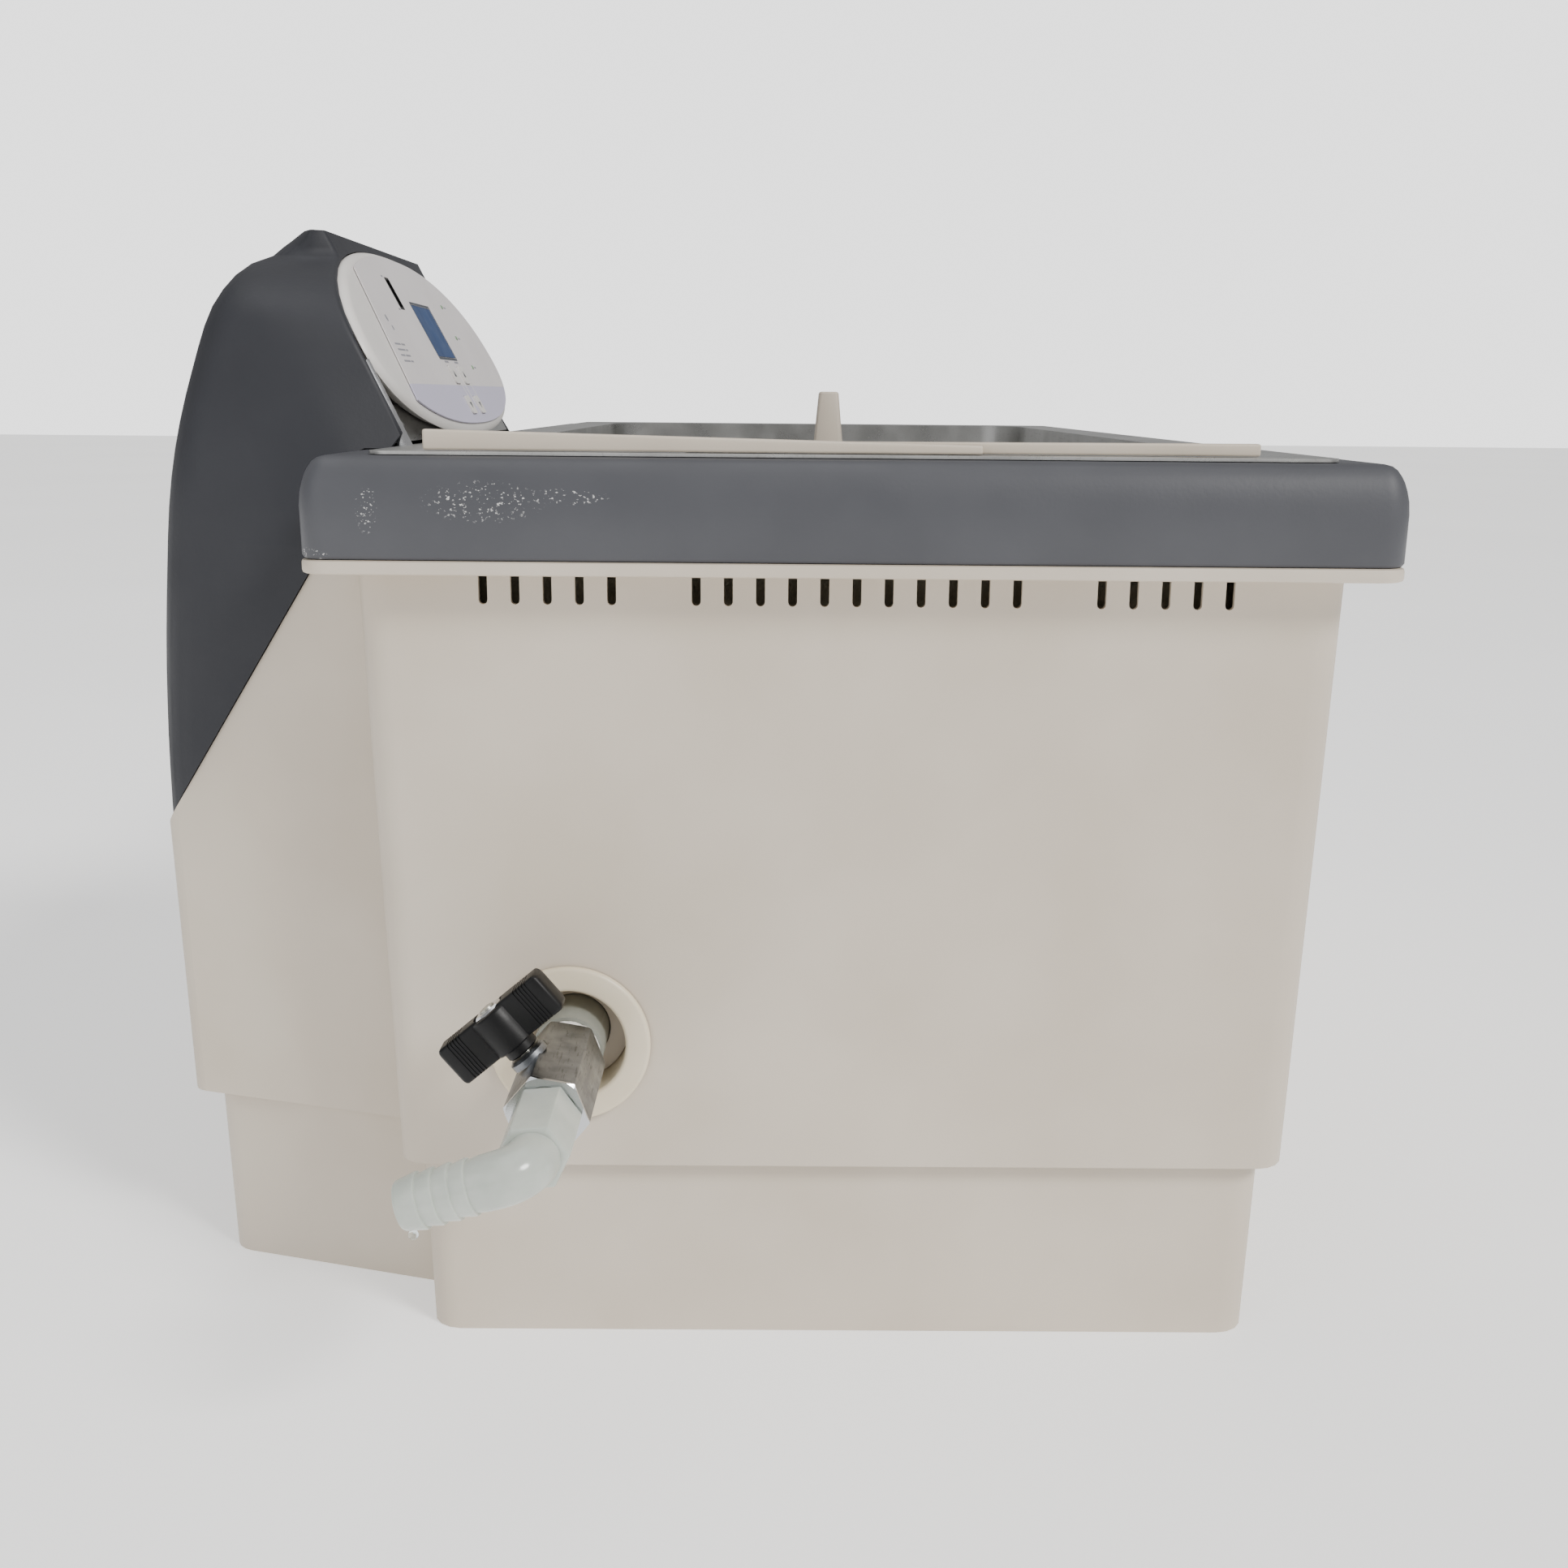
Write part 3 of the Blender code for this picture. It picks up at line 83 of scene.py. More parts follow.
def add_node(tree, kind, inputs=None, **settings):
    """Adds a node with its settings, and fills its inputs with values or links."""
    made = tree.nodes.new(kind)
    for name, value in settings.items():
        setattr(made, name, value)
    for name, value in (inputs or {}).items():
        if isinstance(value, bpy.types.NodeSocket):
            tree.links.new(value, made.inputs[name])
        else:
            made.inputs[name].default_value = value
    return made


def ramp(tree, factor, stops):
    """A colour ramp through (position, colour) stops."""
    made = add_node(tree, "ShaderNodeValToRGB", {"Fac": factor})
    elements = made.color_ramp.elements
    for element, (position, colour) in zip(elements, (stops[0], stops[-1])):
        element.position, element.color = position, colour
    for position, colour in stops[1:-1]:
        elements.new(position).color = colour
    return made.outputs["Color"]


def noise(tree, size_mm, detail=3.0, stretch=(1, 1, 1), roughness=0.5, centre=(0, 0, 0)):
    """Noise on object coordinates whose features are about size_mm, longer where stretched."""
    coords = add_node(tree, "ShaderNodeTexCoord")
    scale = [1000 / size_mm / s for s in stretch]
    placed = add_node(tree, "ShaderNodeMapping", {"Vector": coords.outputs["Object"],
                                                  "Location": centre, "Scale": scale})
    made = add_node(tree, "ShaderNodeTexNoise", {"Vector": placed.outputs["Vector"], "Scale": 1.0,
                                                 "Detail": detail, "Roughness": roughness})
    return made.outputs["Fac"]


def grey(level):
    """A grey as a ramp takes it."""
    return (level, level, level, 1.0)


def material(name, dark, light, roughness, metallic=0.0, mottle_mm=45.0, grain_mm=0.9,
             depth_mm=0.03, stretch=(1, 1, 1), sockets=None, marks=None):
    """A surface with a faint drift of colour, a grain in relief and a gloss that varies."""
    made = bpy.data.materials.new(name)
    made.use_nodes = True
    tree = made.node_tree
    shader = tree.nodes["Principled BSDF"]
    drift = noise(tree, mottle_mm, 3.0)
    colour = ramp(tree, drift, [(0.35, linear(dark)), (0.65, linear(light))])
    gloss = ramp(tree, noise(tree, mottle_mm * 0.6, 4.0, stretch),
                 [(0.35, grey(roughness[0])), (0.65, grey(roughness[1]))])
    grain = noise(tree, grain_mm, 2.0, stretch)
    bump = add_node(tree, "ShaderNodeBump", {"Height": grain, "Strength": 1.0,
                                             "Distance": depth_mm * MM})
    if marks:
        colour, gloss = marks(tree, colour, gloss)
    tree.links.new(colour, shader.inputs["Base Color"])
    tree.links.new(gloss, shader.inputs["Roughness"])
    tree.links.new(bump.outputs["Normal"], shader.inputs["Normal"])
    shader.inputs["Metallic"].default_value = metallic
    for socket, value in (sockets or {}).items():
        shader.inputs[socket].default_value = value
    return made


def mix_in(tree, base, over, factor):
    """The base colour, with another laid over it by a factor."""
    made = add_node(tree, "ShaderNodeMix", {"Factor": factor}, data_type="RGBA")
    tree.links.new(base, made.inputs["A"])
    if isinstance(over, bpy.types.NodeSocket):
        tree.links.new(over, made.inputs["B"])
    else:
        made.inputs["B"].default_value = over
    return made.outputs["Result"]


def patch(tree, centre, reach, power=2.0):
    """A soft-edged patch round a point: 1 in its middle, 0 past its reach along each axis."""
    coords = add_node(tree, "ShaderNodeTexCoord")
    scale = [1 / r for r in reach]
    placed = add_node(tree, "ShaderNodeMapping",
                      {"Vector": coords.outputs["Object"], "Scale": scale,
                       "Location": [-c * s for c, s in zip(centre, scale)]})
    ball = add_node(tree, "ShaderNodeTexGradient", {"Vector": placed.outputs["Vector"]},
                    gradient_type="SPHERICAL")
    return add_node(tree, "ShaderNodeMath", {0: ball.outputs["Fac"], 1: power},
                    operation="MULTIPLY", use_clamp=True).outputs["Value"]


def rim_scuffs(tree, colour, gloss):
    """Pale rubs on the bulge near the drain corner, and a chipped corner."""
    for centre, reach, size, amount in (
            ((-0.375, 0.128, 0.3290), (0.02, 0.022, 0.0075), 0.9, 0.85),
            ((-0.375, 0.098, 0.3310), (0.02, 0.014, 0.0030), 0.9, 0.80),
            ((-0.375, 0.168, 0.3260), (0.02, 0.004, 0.0090), 0.8, 0.80),
            ((-0.375, 0.1890, 0.3105), (0.02, 0.008, 0.0025), 0.8, 0.95)):
        flecks = ramp(tree, noise(tree, size, 3.0, (1, 1.5, 1), 0.60, (3.1, 1.7, 0.4)),
                      [(0.615, grey(0)), (0.645, grey(1))])
        here = add_node(tree, "ShaderNodeMath", {0: flecks, 1: patch(tree, centre, reach, 3.0)},
                        operation="MULTIPLY").outputs["Value"]
        part = add_node(tree, "ShaderNodeMath", {0: here, 1: amount}, operation="MULTIPLY")
        colour = mix_in(tree, colour, linear("#d8d7d5"), part.outputs["Value"])
    return colour, gloss


def scratches(tone, amount, size_mm, stretch):
    """Marks for a worn metal: thin dark lines that run one way."""
    def marks(tree, colour, gloss):
        lines = ramp(tree, noise(tree, size_mm, 5.0, stretch, 0.65),
                     [(0.56, grey(0)), (0.66, grey(amount))])
        return mix_in(tree, colour, linear(tone), lines), mix_in(tree, gloss, grey(0.6), lines)
    return marks


def nickel_wear_and_rim_highlight(tree, colour, gloss):
    """Plating rubbed dull along the flats, with a glossier rim at the mouth; the rim's lighter
    colour is a painted highlight.
    """
    colour, gloss = scratches("#5a5957", 0.55, 0.9, (9, 1, 1))(tree, colour, gloss)
    coords = add_node(tree, "ShaderNodeTexCoord")
    x = add_node(tree, "ShaderNodeSeparateXYZ", {"Vector": coords.outputs["Object"]})
    # painted highlight: the rim at the mouth is lightened to a pale grey; its lower roughness is
    # real polish
    rim = add_node(tree, "ShaderNodeMath", {0: x.outputs["X"], 1: VALVE_X[0] + 0.0014},
                   operation="LESS_THAN").outputs["Value"]
    return mix_in(tree, colour, linear("#c4c6c8"), rim), mix_in(tree, gloss, grey(0.14), rim)


# ABS, spark-eroded mould: a fine matt grain that takes the shine off without dulling the edge
BEIGE = material("moulded ABS, warm beige", "#cbbfae", "#d2c7b7", (0.44, 0.54), grain_mm=1.1,
                 depth_mm=0.035, mottle_mm=70)
# ABS, leather-grain mould: broad shallow pebbles; drawn at 1.6 mm so that they show
DARK = material("grained ABS, dark grey", "#292a2f", "#2e2f34", (0.50, 0.60), grain_mm=1.6,
                depth_mm=0.05, mottle_mm=60, sockets={"Specular IOR Level": 0.35})
RIM = material("grained ABS rim, scuffed", "#434449", "#494a4f", (0.46, 0.56), grain_mm=1.5,
               depth_mm=0.05, mottle_mm=55, marks=rim_scuffs)
# ABS, polished mould, for the console's pod and keys
WHITE = material("satin ABS, off-white", "#dedad6", "#e5e2de", (0.30, 0.38), grain_mm=2.5,
                 depth_mm=0.008)
# PVC trim ring, turned: slightly waxy, with faint rings
CREAM = material("turned PVC, cream", "#d9cbb0", "#e2d6be", (0.34, 0.44), grain_mm=0.8,
                 depth_mm=0.02, sockets={"Subsurface Weight": 0.05, "Subsurface Radius":
                                         (0.004, 0.003, 0.002), "Subsurface Scale": 1.0})
# Stainless sheet, belt-brushed along the bath: short fine lines
STAINLESS = material("brushed stainless steel", "#b4b4b2", "#c6c6c4", (0.26, 0.38), 1.0,
                     mottle_mm=30, grain_mm=0.5, depth_mm=0.012, stretch=(22, 1, 1),
                     marks=scratches("#8d8c88", 0.25, 1.2, (14, 1, 1)))
# Nickel-plated brass forging, handled for years: greyed and scratched, glossier on the rim, where a
# painted highlight lightens the colour
NICKEL = material("worn nickel plate", "#75787c", "#909397", (0.28, 0.42), 1.0, mottle_mm=7,
                  grain_mm=0.5, depth_mm=0.012, stretch=(5, 1, 1), marks=nickel_wear_and_rim_highlight)
# Chrome over brass: bright, with a slight haze from handling
CHROME = material("chrome plate", "#c9c9ca", "#d8d8d9", (0.10, 0.22), 1.0, mottle_mm=6,
                  grain_mm=0.7, depth_mm=0.006)
# Brass bar, turned: warm, with fine rings round the axis
BRASS = material("turned brass", "#a98a4e", "#bd9d5c", (0.24, 0.36), 1.0, mottle_mm=8,
                 grain_mm=0.35, depth_mm=0.015, stretch=(1, 6, 6))
# Glass-filled nylon: black, with a fine dry texture
BLACK = material("moulded nylon, black", "#050506", "#09090a", (0.38, 0.48), grain_mm=0.6,
                 depth_mm=0.02, mottle_mm=12, sockets={"Specular IOR Level": 0.30})
# Unfilled nylon: milky, lets light in, waxy highlight
NATURAL = material("natural nylon", "#b4bab2", "#bfc4bc", (0.16, 0.24), grain_mm=3.0,
                   depth_mm=0.004, mottle_mm=14,
                   sockets={"Subsurface Weight": 0.35, "Subsurface Radius": (0.010, 0.012, 0.010),
                            "Subsurface Scale": 0.35, "IOR": 1.53})
# PTFE thread tape, wound on: chalk white, creased round the thread
PTFE = material("PTFE tape", "#f0f0ee", "#fafaf8", (0.40, 0.55), grain_mm=0.8, depth_mm=0.08,
                stretch=(1, 5, 5), mottle_mm=5)
# PVC pipe, extruded: even grey-green with a dull sheen
PVC = material("extruded PVC, grey", "#8d8f86", "#9b9d94", (0.38, 0.48), grain_mm=0.9,
               depth_mm=0.02, mottle_mm=16)
# Moulded rubber: nearly no shine
RUBBER = material("black rubber", "#1a1a1b", "#232324", (0.70, 0.85), grain_mm=0.8, depth_mm=0.04)
# Open-cell foam: rough, slightly yellowed
FOAM = material("open insulating foam", "#b7b09a", "#cbc5b0", (0.90, 0.98), grain_mm=2.0,
                depth_mm=0.5, mottle_mm=25)
# Zinc plate over steel: soft grey metal with a clouded spangle
ZINC = material("zinc-plated steel", "#a8a89f", "#bcbcb4", (0.32, 0.46), 1.0, mottle_mm=11,
                grain_mm=1.3, depth_mm=0.02)
# Stoved enamel on a motor can: smooth satin black
ENAMEL = material("stoved enamel, black", "#2b2b2d", "#323235", (0.30, 0.40), grain_mm=1.4,
                  depth_mm=0.02)
# Glass-epoxy board under solder mask: green, slightly glossy
BOARD = material("solder-masked board", "#14502c", "#1d6238", (0.30, 0.42), grain_mm=3.0,
                 depth_mm=0.05, mottle_mm=7)
# Screen-print inks: flat and even
PRINT = material("screen-print ink, grey", "#8b8b93", "#93939b", (0.45, 0.55), grain_mm=1.2,
                 depth_mm=0.004)
DARK_PRINT = material("screen-print ink, slate", "#3c4048", "#454951", (0.40, 0.50),
                      grain_mm=1.2, depth_mm=0.004)
# Tinted acrylic lens of an unlit lamp: smooth and dull green
LIGHT = material("tinted lens", "#6f8f6e", "#7d9d7b", (0.16, 0.24), grain_mm=1.5, depth_mm=0.004)


def film_zone(tree, colour, gloss):
    """The film's lower band is printed in a pale lilac."""
    return mix_in(tree, colour, linear("#c9c5da"), zone_below(tree, LILAC_TOP)), gloss


def zone_below(tree, limit):
    """1 below a line across the console face, 0 above it."""
    coords = add_node(tree, "ShaderNodeTexCoord")
    up = Vector((0, math.cos(FACE_ANGLE), math.sin(FACE_ANGLE)))
    rise = add_node(tree, "ShaderNodeVectorMath", {0: coords.outputs["Object"], 1: up},
                    operation="DOT_PRODUCT")
    line = up.dot(FACE_ORIGIN) + limit
    return add_node(tree, "ShaderNodeMath", {0: rise.outputs["Value"], 1: line},
                    operation="LESS_THAN").outputs["Value"]


# Polyester membrane, printed on its back: even satin
FILM = material("printed polyester film", "#dbd6d6", "#e0dbdb", (0.34, 0.42), grain_mm=1.8,
                depth_mm=0.004, marks=film_zone)


def lcd_cells(tree, colour, gloss):
    """A faint grid of character cells behind the window."""
    cells = add_node(tree, "ShaderNodeTexCoord")
    placed = add_node(tree, "ShaderNodeMapping", {"Vector": cells.outputs["Object"],
                                                  "Scale": (300, 300, 300)})
    grid = add_node(tree, "ShaderNodeTexChecker", {"Vector": placed.outputs["Vector"],
                                                   "Scale": 1.0})
    faint = add_node(tree, "ShaderNodeMath", {0: grid.outputs["Fac"], 1: 0.10},
                     operation="MULTIPLY")
    return mix_in(tree, colour, linear("#39557f"), faint.outputs["Value"]), gloss


# Backlit display behind a clear window: even blue under gloss
DISPLAY = material("blue display window", "#173866", "#1d3f6f", (0.30, 0.36), grain_mm=4.0,
                   depth_mm=0.002, mottle_mm=18, marks=lcd_cells,
                   sockets={"Specular IOR Level": 0.15})
# Water: clear and smooth
WATER = material("water", "#e6eef0", "#eef4f6", (0.02, 0.03), grain_mm=6.0, depth_mm=0.001,
                 sockets={"Transmission Weight": 1.0, "IOR": 1.333})

LOOKS = {
    BEIGE: "base_pan housing trim_strip tower_shell cover_rail_front cover_rail_rear tray_handle",
    DARK: "console_hood", RIM: "rim_band",
    WHITE: "console_pod key_temp_up key_temp_down key_speed_up key_speed_down",
    FILM: "keypad_overlay", CREAM: "drain_ring",
    STAINLESS: "tank tank_outlet throat_plate shaking_tray heater_element temperature_probe",
    NICKEL: "valve_body packing_gland", CHROME: "handle_nut valve_ball",
    BRASS: "valve_nipple heater_gland_front heater_gland_rear",
    BLACK: "valve_handle tray_sled crank_pulley switch_frame power_rocker power_inlet"
           " fuse_holder",
    NATURAL: "hose_elbow", PTFE: "thread_tape valve_seat_in valve_seat_out", PVC: "drain_pipe",
    RUBBER: "foot_front_drain foot_rear_drain foot_front_far foot_rear_far drive_belt",
    FOAM: "insulation_jacket",
    ZINC: "drive_beam main_bearing idler_bearing crank_shaft idler_crank magnet_carriage"
          " drive_magnets motor_pulley valve_stem transformer",
    ENAMEL: "drive_motor", DISPLAY: "display_window", BOARD: "control_board"}
LOOK_OF = {node: look for look, nodes in LOOKS.items() for node in nodes.split()}
SLOT_OF = {s["node"]: s["material_slot"] for s in frame["record"]["subparts"]}
BODY_OF = {n: body for body, nodes in frame["record"]["behaviour"]["bodies"].items()
           for n in nodes}
for node_name, cad in frame["nodes"].items():
    cad.data.materials.clear()
    cad.data.materials.append(LOOK_OF[node_name])


# ---------------------------------------------------------------- mesh helpers

def rounded(corners, radii, segments=8):
    """Outline through the corners, each one rounded by an arc of its own radius."""
    points = []
    for i, radius in enumerate(radii):
        corner = Vector(corners[i])
        before = (Vector(corners[i - 1]) - corner).normalized()
        after = (Vector(corners[(i + 1) % len(corners)]) - corner).normalized()
        if radius <= 0:
            points.append(corner)
            continue
        half = before.angle(after) / 2
        reach = radius / math.tan(half)
        centre = corner + (before + after).normalized() * radius / math.sin(half)
        start, end = corner + before * reach - centre, corner + after * reach - centre
        sweep = start.angle_signed(end)
        for step in range(segments + 1):
            points.append(centre + Matrix.Rotation(-sweep * step / segments, 2) @ start)
    return points


def rectangle(half_x, half_y, radius, segments=8, middle=(0.0, 0.0)):
    x, y = middle
    corners = [(x - half_x, y - half_y), (x + half_x, y - half_y),
               (x + half_x, y + half_y), (x - half_x, y + half_y)]
    return rounded(corners, [radius] * 4, segments)


def at_height(outline, z):
    return [Vector((p[0], p[1], z)) for p in outline]


def skin(loops, cap_first=False, cap_last=False, join_ends=False, bm=None):
    """Closed loops of equal length joined in order."""
    bm = bm or bmesh.new()
    rows = [[bm.verts.new(p) for p in loop] for loop in loops]
    pairs = list(zip(rows, rows[1:])) + ([(rows[-1], rows[0])] if join_ends else [])
    for low, high in pairs:
        for i in range(len(low)):
            j = (i + 1) % len(low)
            bm.faces.new((low[i], low[j], high[j], high[i]))
    if cap_first:
        bm.faces.new(rows[0])
    if cap_last:
        bm.faces.new(rows[-1])
    return bm


def turned(profile, place, steps=64, bm=None):
    """Closed profile of (radius, height) points turned about its own upright axis."""
    loops = []
    for step in range(steps):
        turn = 2 * math.pi * step / steps
        loops.append([place @ Vector((r * math.cos(turn), r * math.sin(turn), z))
                      for r, z in profile])
    bm = skin(loops, join_ends=True, bm=bm)
    bmesh.ops.remove_doubles(bm, verts=bm.verts, dist=1e-7)
    bmesh.ops.delete(bm, geom=[e for e in bm.edges if not e.link_faces], context="EDGES")
    return bm


def arc(centre, radius, start, end, steps=6):
    """Points of an arc in a profile, its angles in degrees."""
    return [(centre[0] + radius * math.cos(math.radians(start + (end - start) * i / steps)),
             centre[1] + radius * math.sin(math.radians(start + (end - start) * i / steps)))
            for i in range(steps + 1)]


def loose(bm):
    """A throwaway object with the mesh, for modifiers to work on."""
    bmesh.ops.recalc_face_normals(bm, faces=bm.faces)
    mesh = bpy.data.meshes.new("blank")
    bm.to_mesh(mesh)
    bm.free()
    obj = bpy.data.objects.new("blank", mesh)
    bpy.context.scene.collection.objects.link(obj)
    return obj


def settled(obj):
    """An object's mesh with its modifiers worked in; the object itself is removed."""
    bpy.context.view_layer.update()
    mesh = bpy.data.meshes.new_from_object(obj.evaluated_get(
        bpy.context.evaluated_depsgraph_get()))
    bpy.data.objects.remove(obj)
    bm = bmesh.new()
    bm.from_mesh(mesh)
    return bm


def joined(bm, tools, operation="DIFFERENCE"):
    """The mesh with each tool taken out of it, or added to it with UNION."""
    target, made = loose(bm), [loose(tool) for tool in tools]
    for tool in made:
        modifier = target.modifiers.new("tool", "BOOLEAN")
        modifier.object, modifier.operation, modifier.solver = tool, operation, "EXACT"
    result = settled(target)
    for tool in made:
        bpy.data.objects.remove(tool)
    return result


def eased(bm, width, segments=3, angle=40):
    """The mesh with its sharp edges rounded."""
    obj = loose(bm)
    modifier = obj.modifiers.new("edges", "BEVEL")
    modifier.width, modifier.segments, modifier.angle_limit = width, segments, math.radians(angle)
    return settled(obj)


def piece(name, bm, look, slot, body="bath", stands_for=(), crease=35, recalc=True):
    """Finished piece: merged, faces out, shaded smooth up to the crease angle."""
    bmesh.ops.remove_doubles(bm, verts=bm.verts, dist=MERGE)
    if recalc:
        bmesh.ops.recalc_face_normals(bm, faces=bm.faces)
    mesh = bpy.data.meshes.new(name)
    bm.to_mesh(mesh)
    bm.free()
    mesh.shade_smooth()
    mesh.set_sharp_from_angle(angle=math.radians(crease))
    mesh.materials.append(look)
    obj = bpy.data.objects.new(name, mesh)
    bpy.context.scene.collection.objects.link(obj)
    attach(obj, body)
    if stands_for:
        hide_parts(*stands_for)
    return obj


def stand_in(node, bm, crease=35, **options):
    """A finished piece that stands for one node, with its body and look."""
    return piece(node + "_finished", bm, LOOK_OF[node], SLOT_OF[node], BODY_OF[node], (node,),
                 crease, **options)


def smoothed(node, crease=35):
    """A copy of a node with its loose triangles merged, so that curves shade as curves."""
    bm = bmesh.new()
    bm.from_mesh(frame["nodes"][node].data)
    bmesh.ops.remove_doubles(bm, verts=bm.verts, dist=MERGE)
    bmesh.ops.dissolve_limit(bm, angle_limit=math.radians(0.6), verts=bm.verts, edges=bm.edges)
    return stand_in(node, bm, crease, recalc=False)


# ---------------------------------------------------------------- body

def build_rim():
    """Rim: a bulged outer face that rolls over to a flat top, in one smooth profile."""
    low, high = RIM_Z
    spots = [(0.0012, low), (0.0003, low + 0.0012), (0.0, low + 0.0180), (0.0004, low + 0.0225),
             (0.0013, low + 0.0262), (0.0024, high - 0.0060), (0.0034, high - 0.0042),
             (0.0050, high - 0.0020), (0.0068, high - 0.0007), (0.0095, high)]
    loops = [at_height(rectangle(RIM_HALF[0] - inset, RIM_HALF[1] - inset, RIM_CORNER - inset), z)
             for inset, z in spots]
    inner = rectangle(0.332, 0.157, 0.012)
    loops += [at_height(inner, high), at_height(inner, low)]
    stand_in("rim_band", skin(loops, join_ends=True), 40)


def build_trim():
    """Pale trim below the rim, its two outer edges eased."""
    z0, z1, ease = 0.3035, 0.3085, 0.0012
    spots = [(ease, z0), (0.0003, z0 + 0.0004), (0.0, z0 + ease), (0.0, z1 - ease),
             (0.0003, z1 - 0.0004), (ease, z1)]
    loops = [at_height(rectangle(RIM_HALF[0] - i, RIM_HALF[1] - i, RIM_CORNER - i), z)
             for i, z in spots]
    inner = rectangle(0.338, 0.160, 0.012)
    loops += [at_height(inner, z1), at_height(inner, z0)]
    stand_in("trim_strip", skin(loops, join_ends=True), 40)


def build_rails():
    """Two loose cover rails with eased edges."""
    base = 0.3458
    for node, x0, x1, y0, y1, top0, top1 in (
            ("cover_rail_rear", -0.3580, -0.3530, -0.0450, 0.1515, 0.3489, 0.3530),
            ("cover_rail_front", -0.3526, -0.3476, -0.1440, 0.0600, 0.3502, 0.3496)):
        rows = [(y0, base), (y1, base), (y1, top1), (y0, top0)]
        loops = [[Vector((x, y, z)) for y, z in rows] for x in (x0, x1)]
        stand_in(node, eased(skin(loops, True, True), 0.0009, 4), 30)


# ---------------------------------------------------------------- console

FACE = Matrix.Translation(FACE_ORIGIN) @ Matrix.Rotation(FACE_ANGLE, 4, "X")


def pod_outline(half_x, half_y, count=144):
    """Egg-shaped oval about the pod's centre, in the console face's own frame."""
    points = []
    for i in range(count):
        turn = 2 * math.pi * i / count
        c, s = math.cos(turn), math.sin(turn)
        u = math.copysign(abs(c) ** (2 / POD_POWER), c)
        v = math.copysign(abs(s) ** (2 / POD_POWER), s)
        points.append(Vector((POD_CENTRE[0] + half_x * u * (1 - POD_EGG * v),
                              POD_CENTRE[1] + half_y * v)))
    return points


def on_face(outline, w0, w1):
    """Solid plate between two offsets out of the console face."""
    return skin([[FACE @ p for p in at_height(outline, w)] for w in (w0, w1)], True, True)


def face_window(spot, w0, w1, radius=0.0, grow=0.0):
    u, v, width, height = spot
    return on_face(rectangle(width / 2 + grow, height / 2 + grow, radius, 5, (u, v)), w0, w1)


def openings(depth, key_floor):
    """Cutters for the display and switch, a depth each way, and for the keys' pockets."""
    made = [face_window(spot, -depth, depth, grow=GAP) for spot in (LCD, SWITCH)]
    return made + [face_window((u, v, *KEY_SIZE), key_floor, 0.01, KEY_CORNER, GAP)
                   for u, v in KEYS.values()]


def build_pod():
    """Pod with a soft rounded edge, and windows for the display, switch and keys."""
    loops = []
    rise, edge = 0.0034, 0.0052
    levels = [(0.0, -0.0090, 1.0), (0.0, -0.0060, 0.62), (0.0, -rise, 0.10)]
    levels += [(edge - edge * math.cos(math.radians(t)), rise * (math.sin(math.radians(t)) - 1),
                0.0) for t in (12, 25, 38, 50, 62, 75, 90)]
    for inset, w, undercut in levels:
        outline = pod_outline(POD_HALF[0] - inset, POD_HALF[1] - inset)
        for p in outline:
            low = min(max((0.012 - p.y) / 0.026, 0.0), 1.0) * undercut
            p.x += math.copysign(0.016 * low, -p.x) * min(abs(p.x) / 0.05, 1.0)
            p.y += 0.0050 * low
        loops.append([FACE @ p for p in at_height(outline, w)])
    tools = openings(0.03, -0.0030)
    stand_in("console_pod", joined(skin(loops, True, True), tools), 30)
    end, lean = -0.1075, 0.33
    film = [Vector((max(end + lean * p.y, p.x), p.y)) for p in pod_outline(0.1410, 0.0413)]
    tools = openings(0.01, -0.01)
    stand_in("keypad_overlay", joined(on_face(film, GAP, FILM_TOP), tools), 30)


def build_edge_strip():
    """Bright strip down the hood's front edge, beside the throat."""
    top, foot, wide = (-0.1527, -0.0085), (-0.1603, -0.0455), 0.0015
    line = [Vector(top), Vector(foot), Vector((foot[0] + wide, foot[1])),
            Vector((top[0] + wide, top[1]))]
    piece("throat_edge", eased(on_face(line, -0.0070, -0.0018), 0.0003, 2), CHROME, "stainless")


def flat_print(name, outlines, look=None, w=FILM_TOP, thick=0.00006, body="bath"):
    """Ink marks that stand a hair above the surface that they are printed on."""
    bm = bmesh.new()
    for outline in outlines:
        loops = [[FACE @ p for p in at_height(outline, level)] for level in (w - thick, w + thick)]
        skin(loops, True, True, bm=bm)
    piece(name, bm, look or PRINT, "membrane_film", body)


def oval(u, v, half_u, half_v, count=20):
    """Ellipse on the console face."""
    return [Vector((u + half_u * math.cos(2 * math.pi * i / count),
                    v + half_v * math.sin(2 * math.pi * i / count))) for i in range(count)]


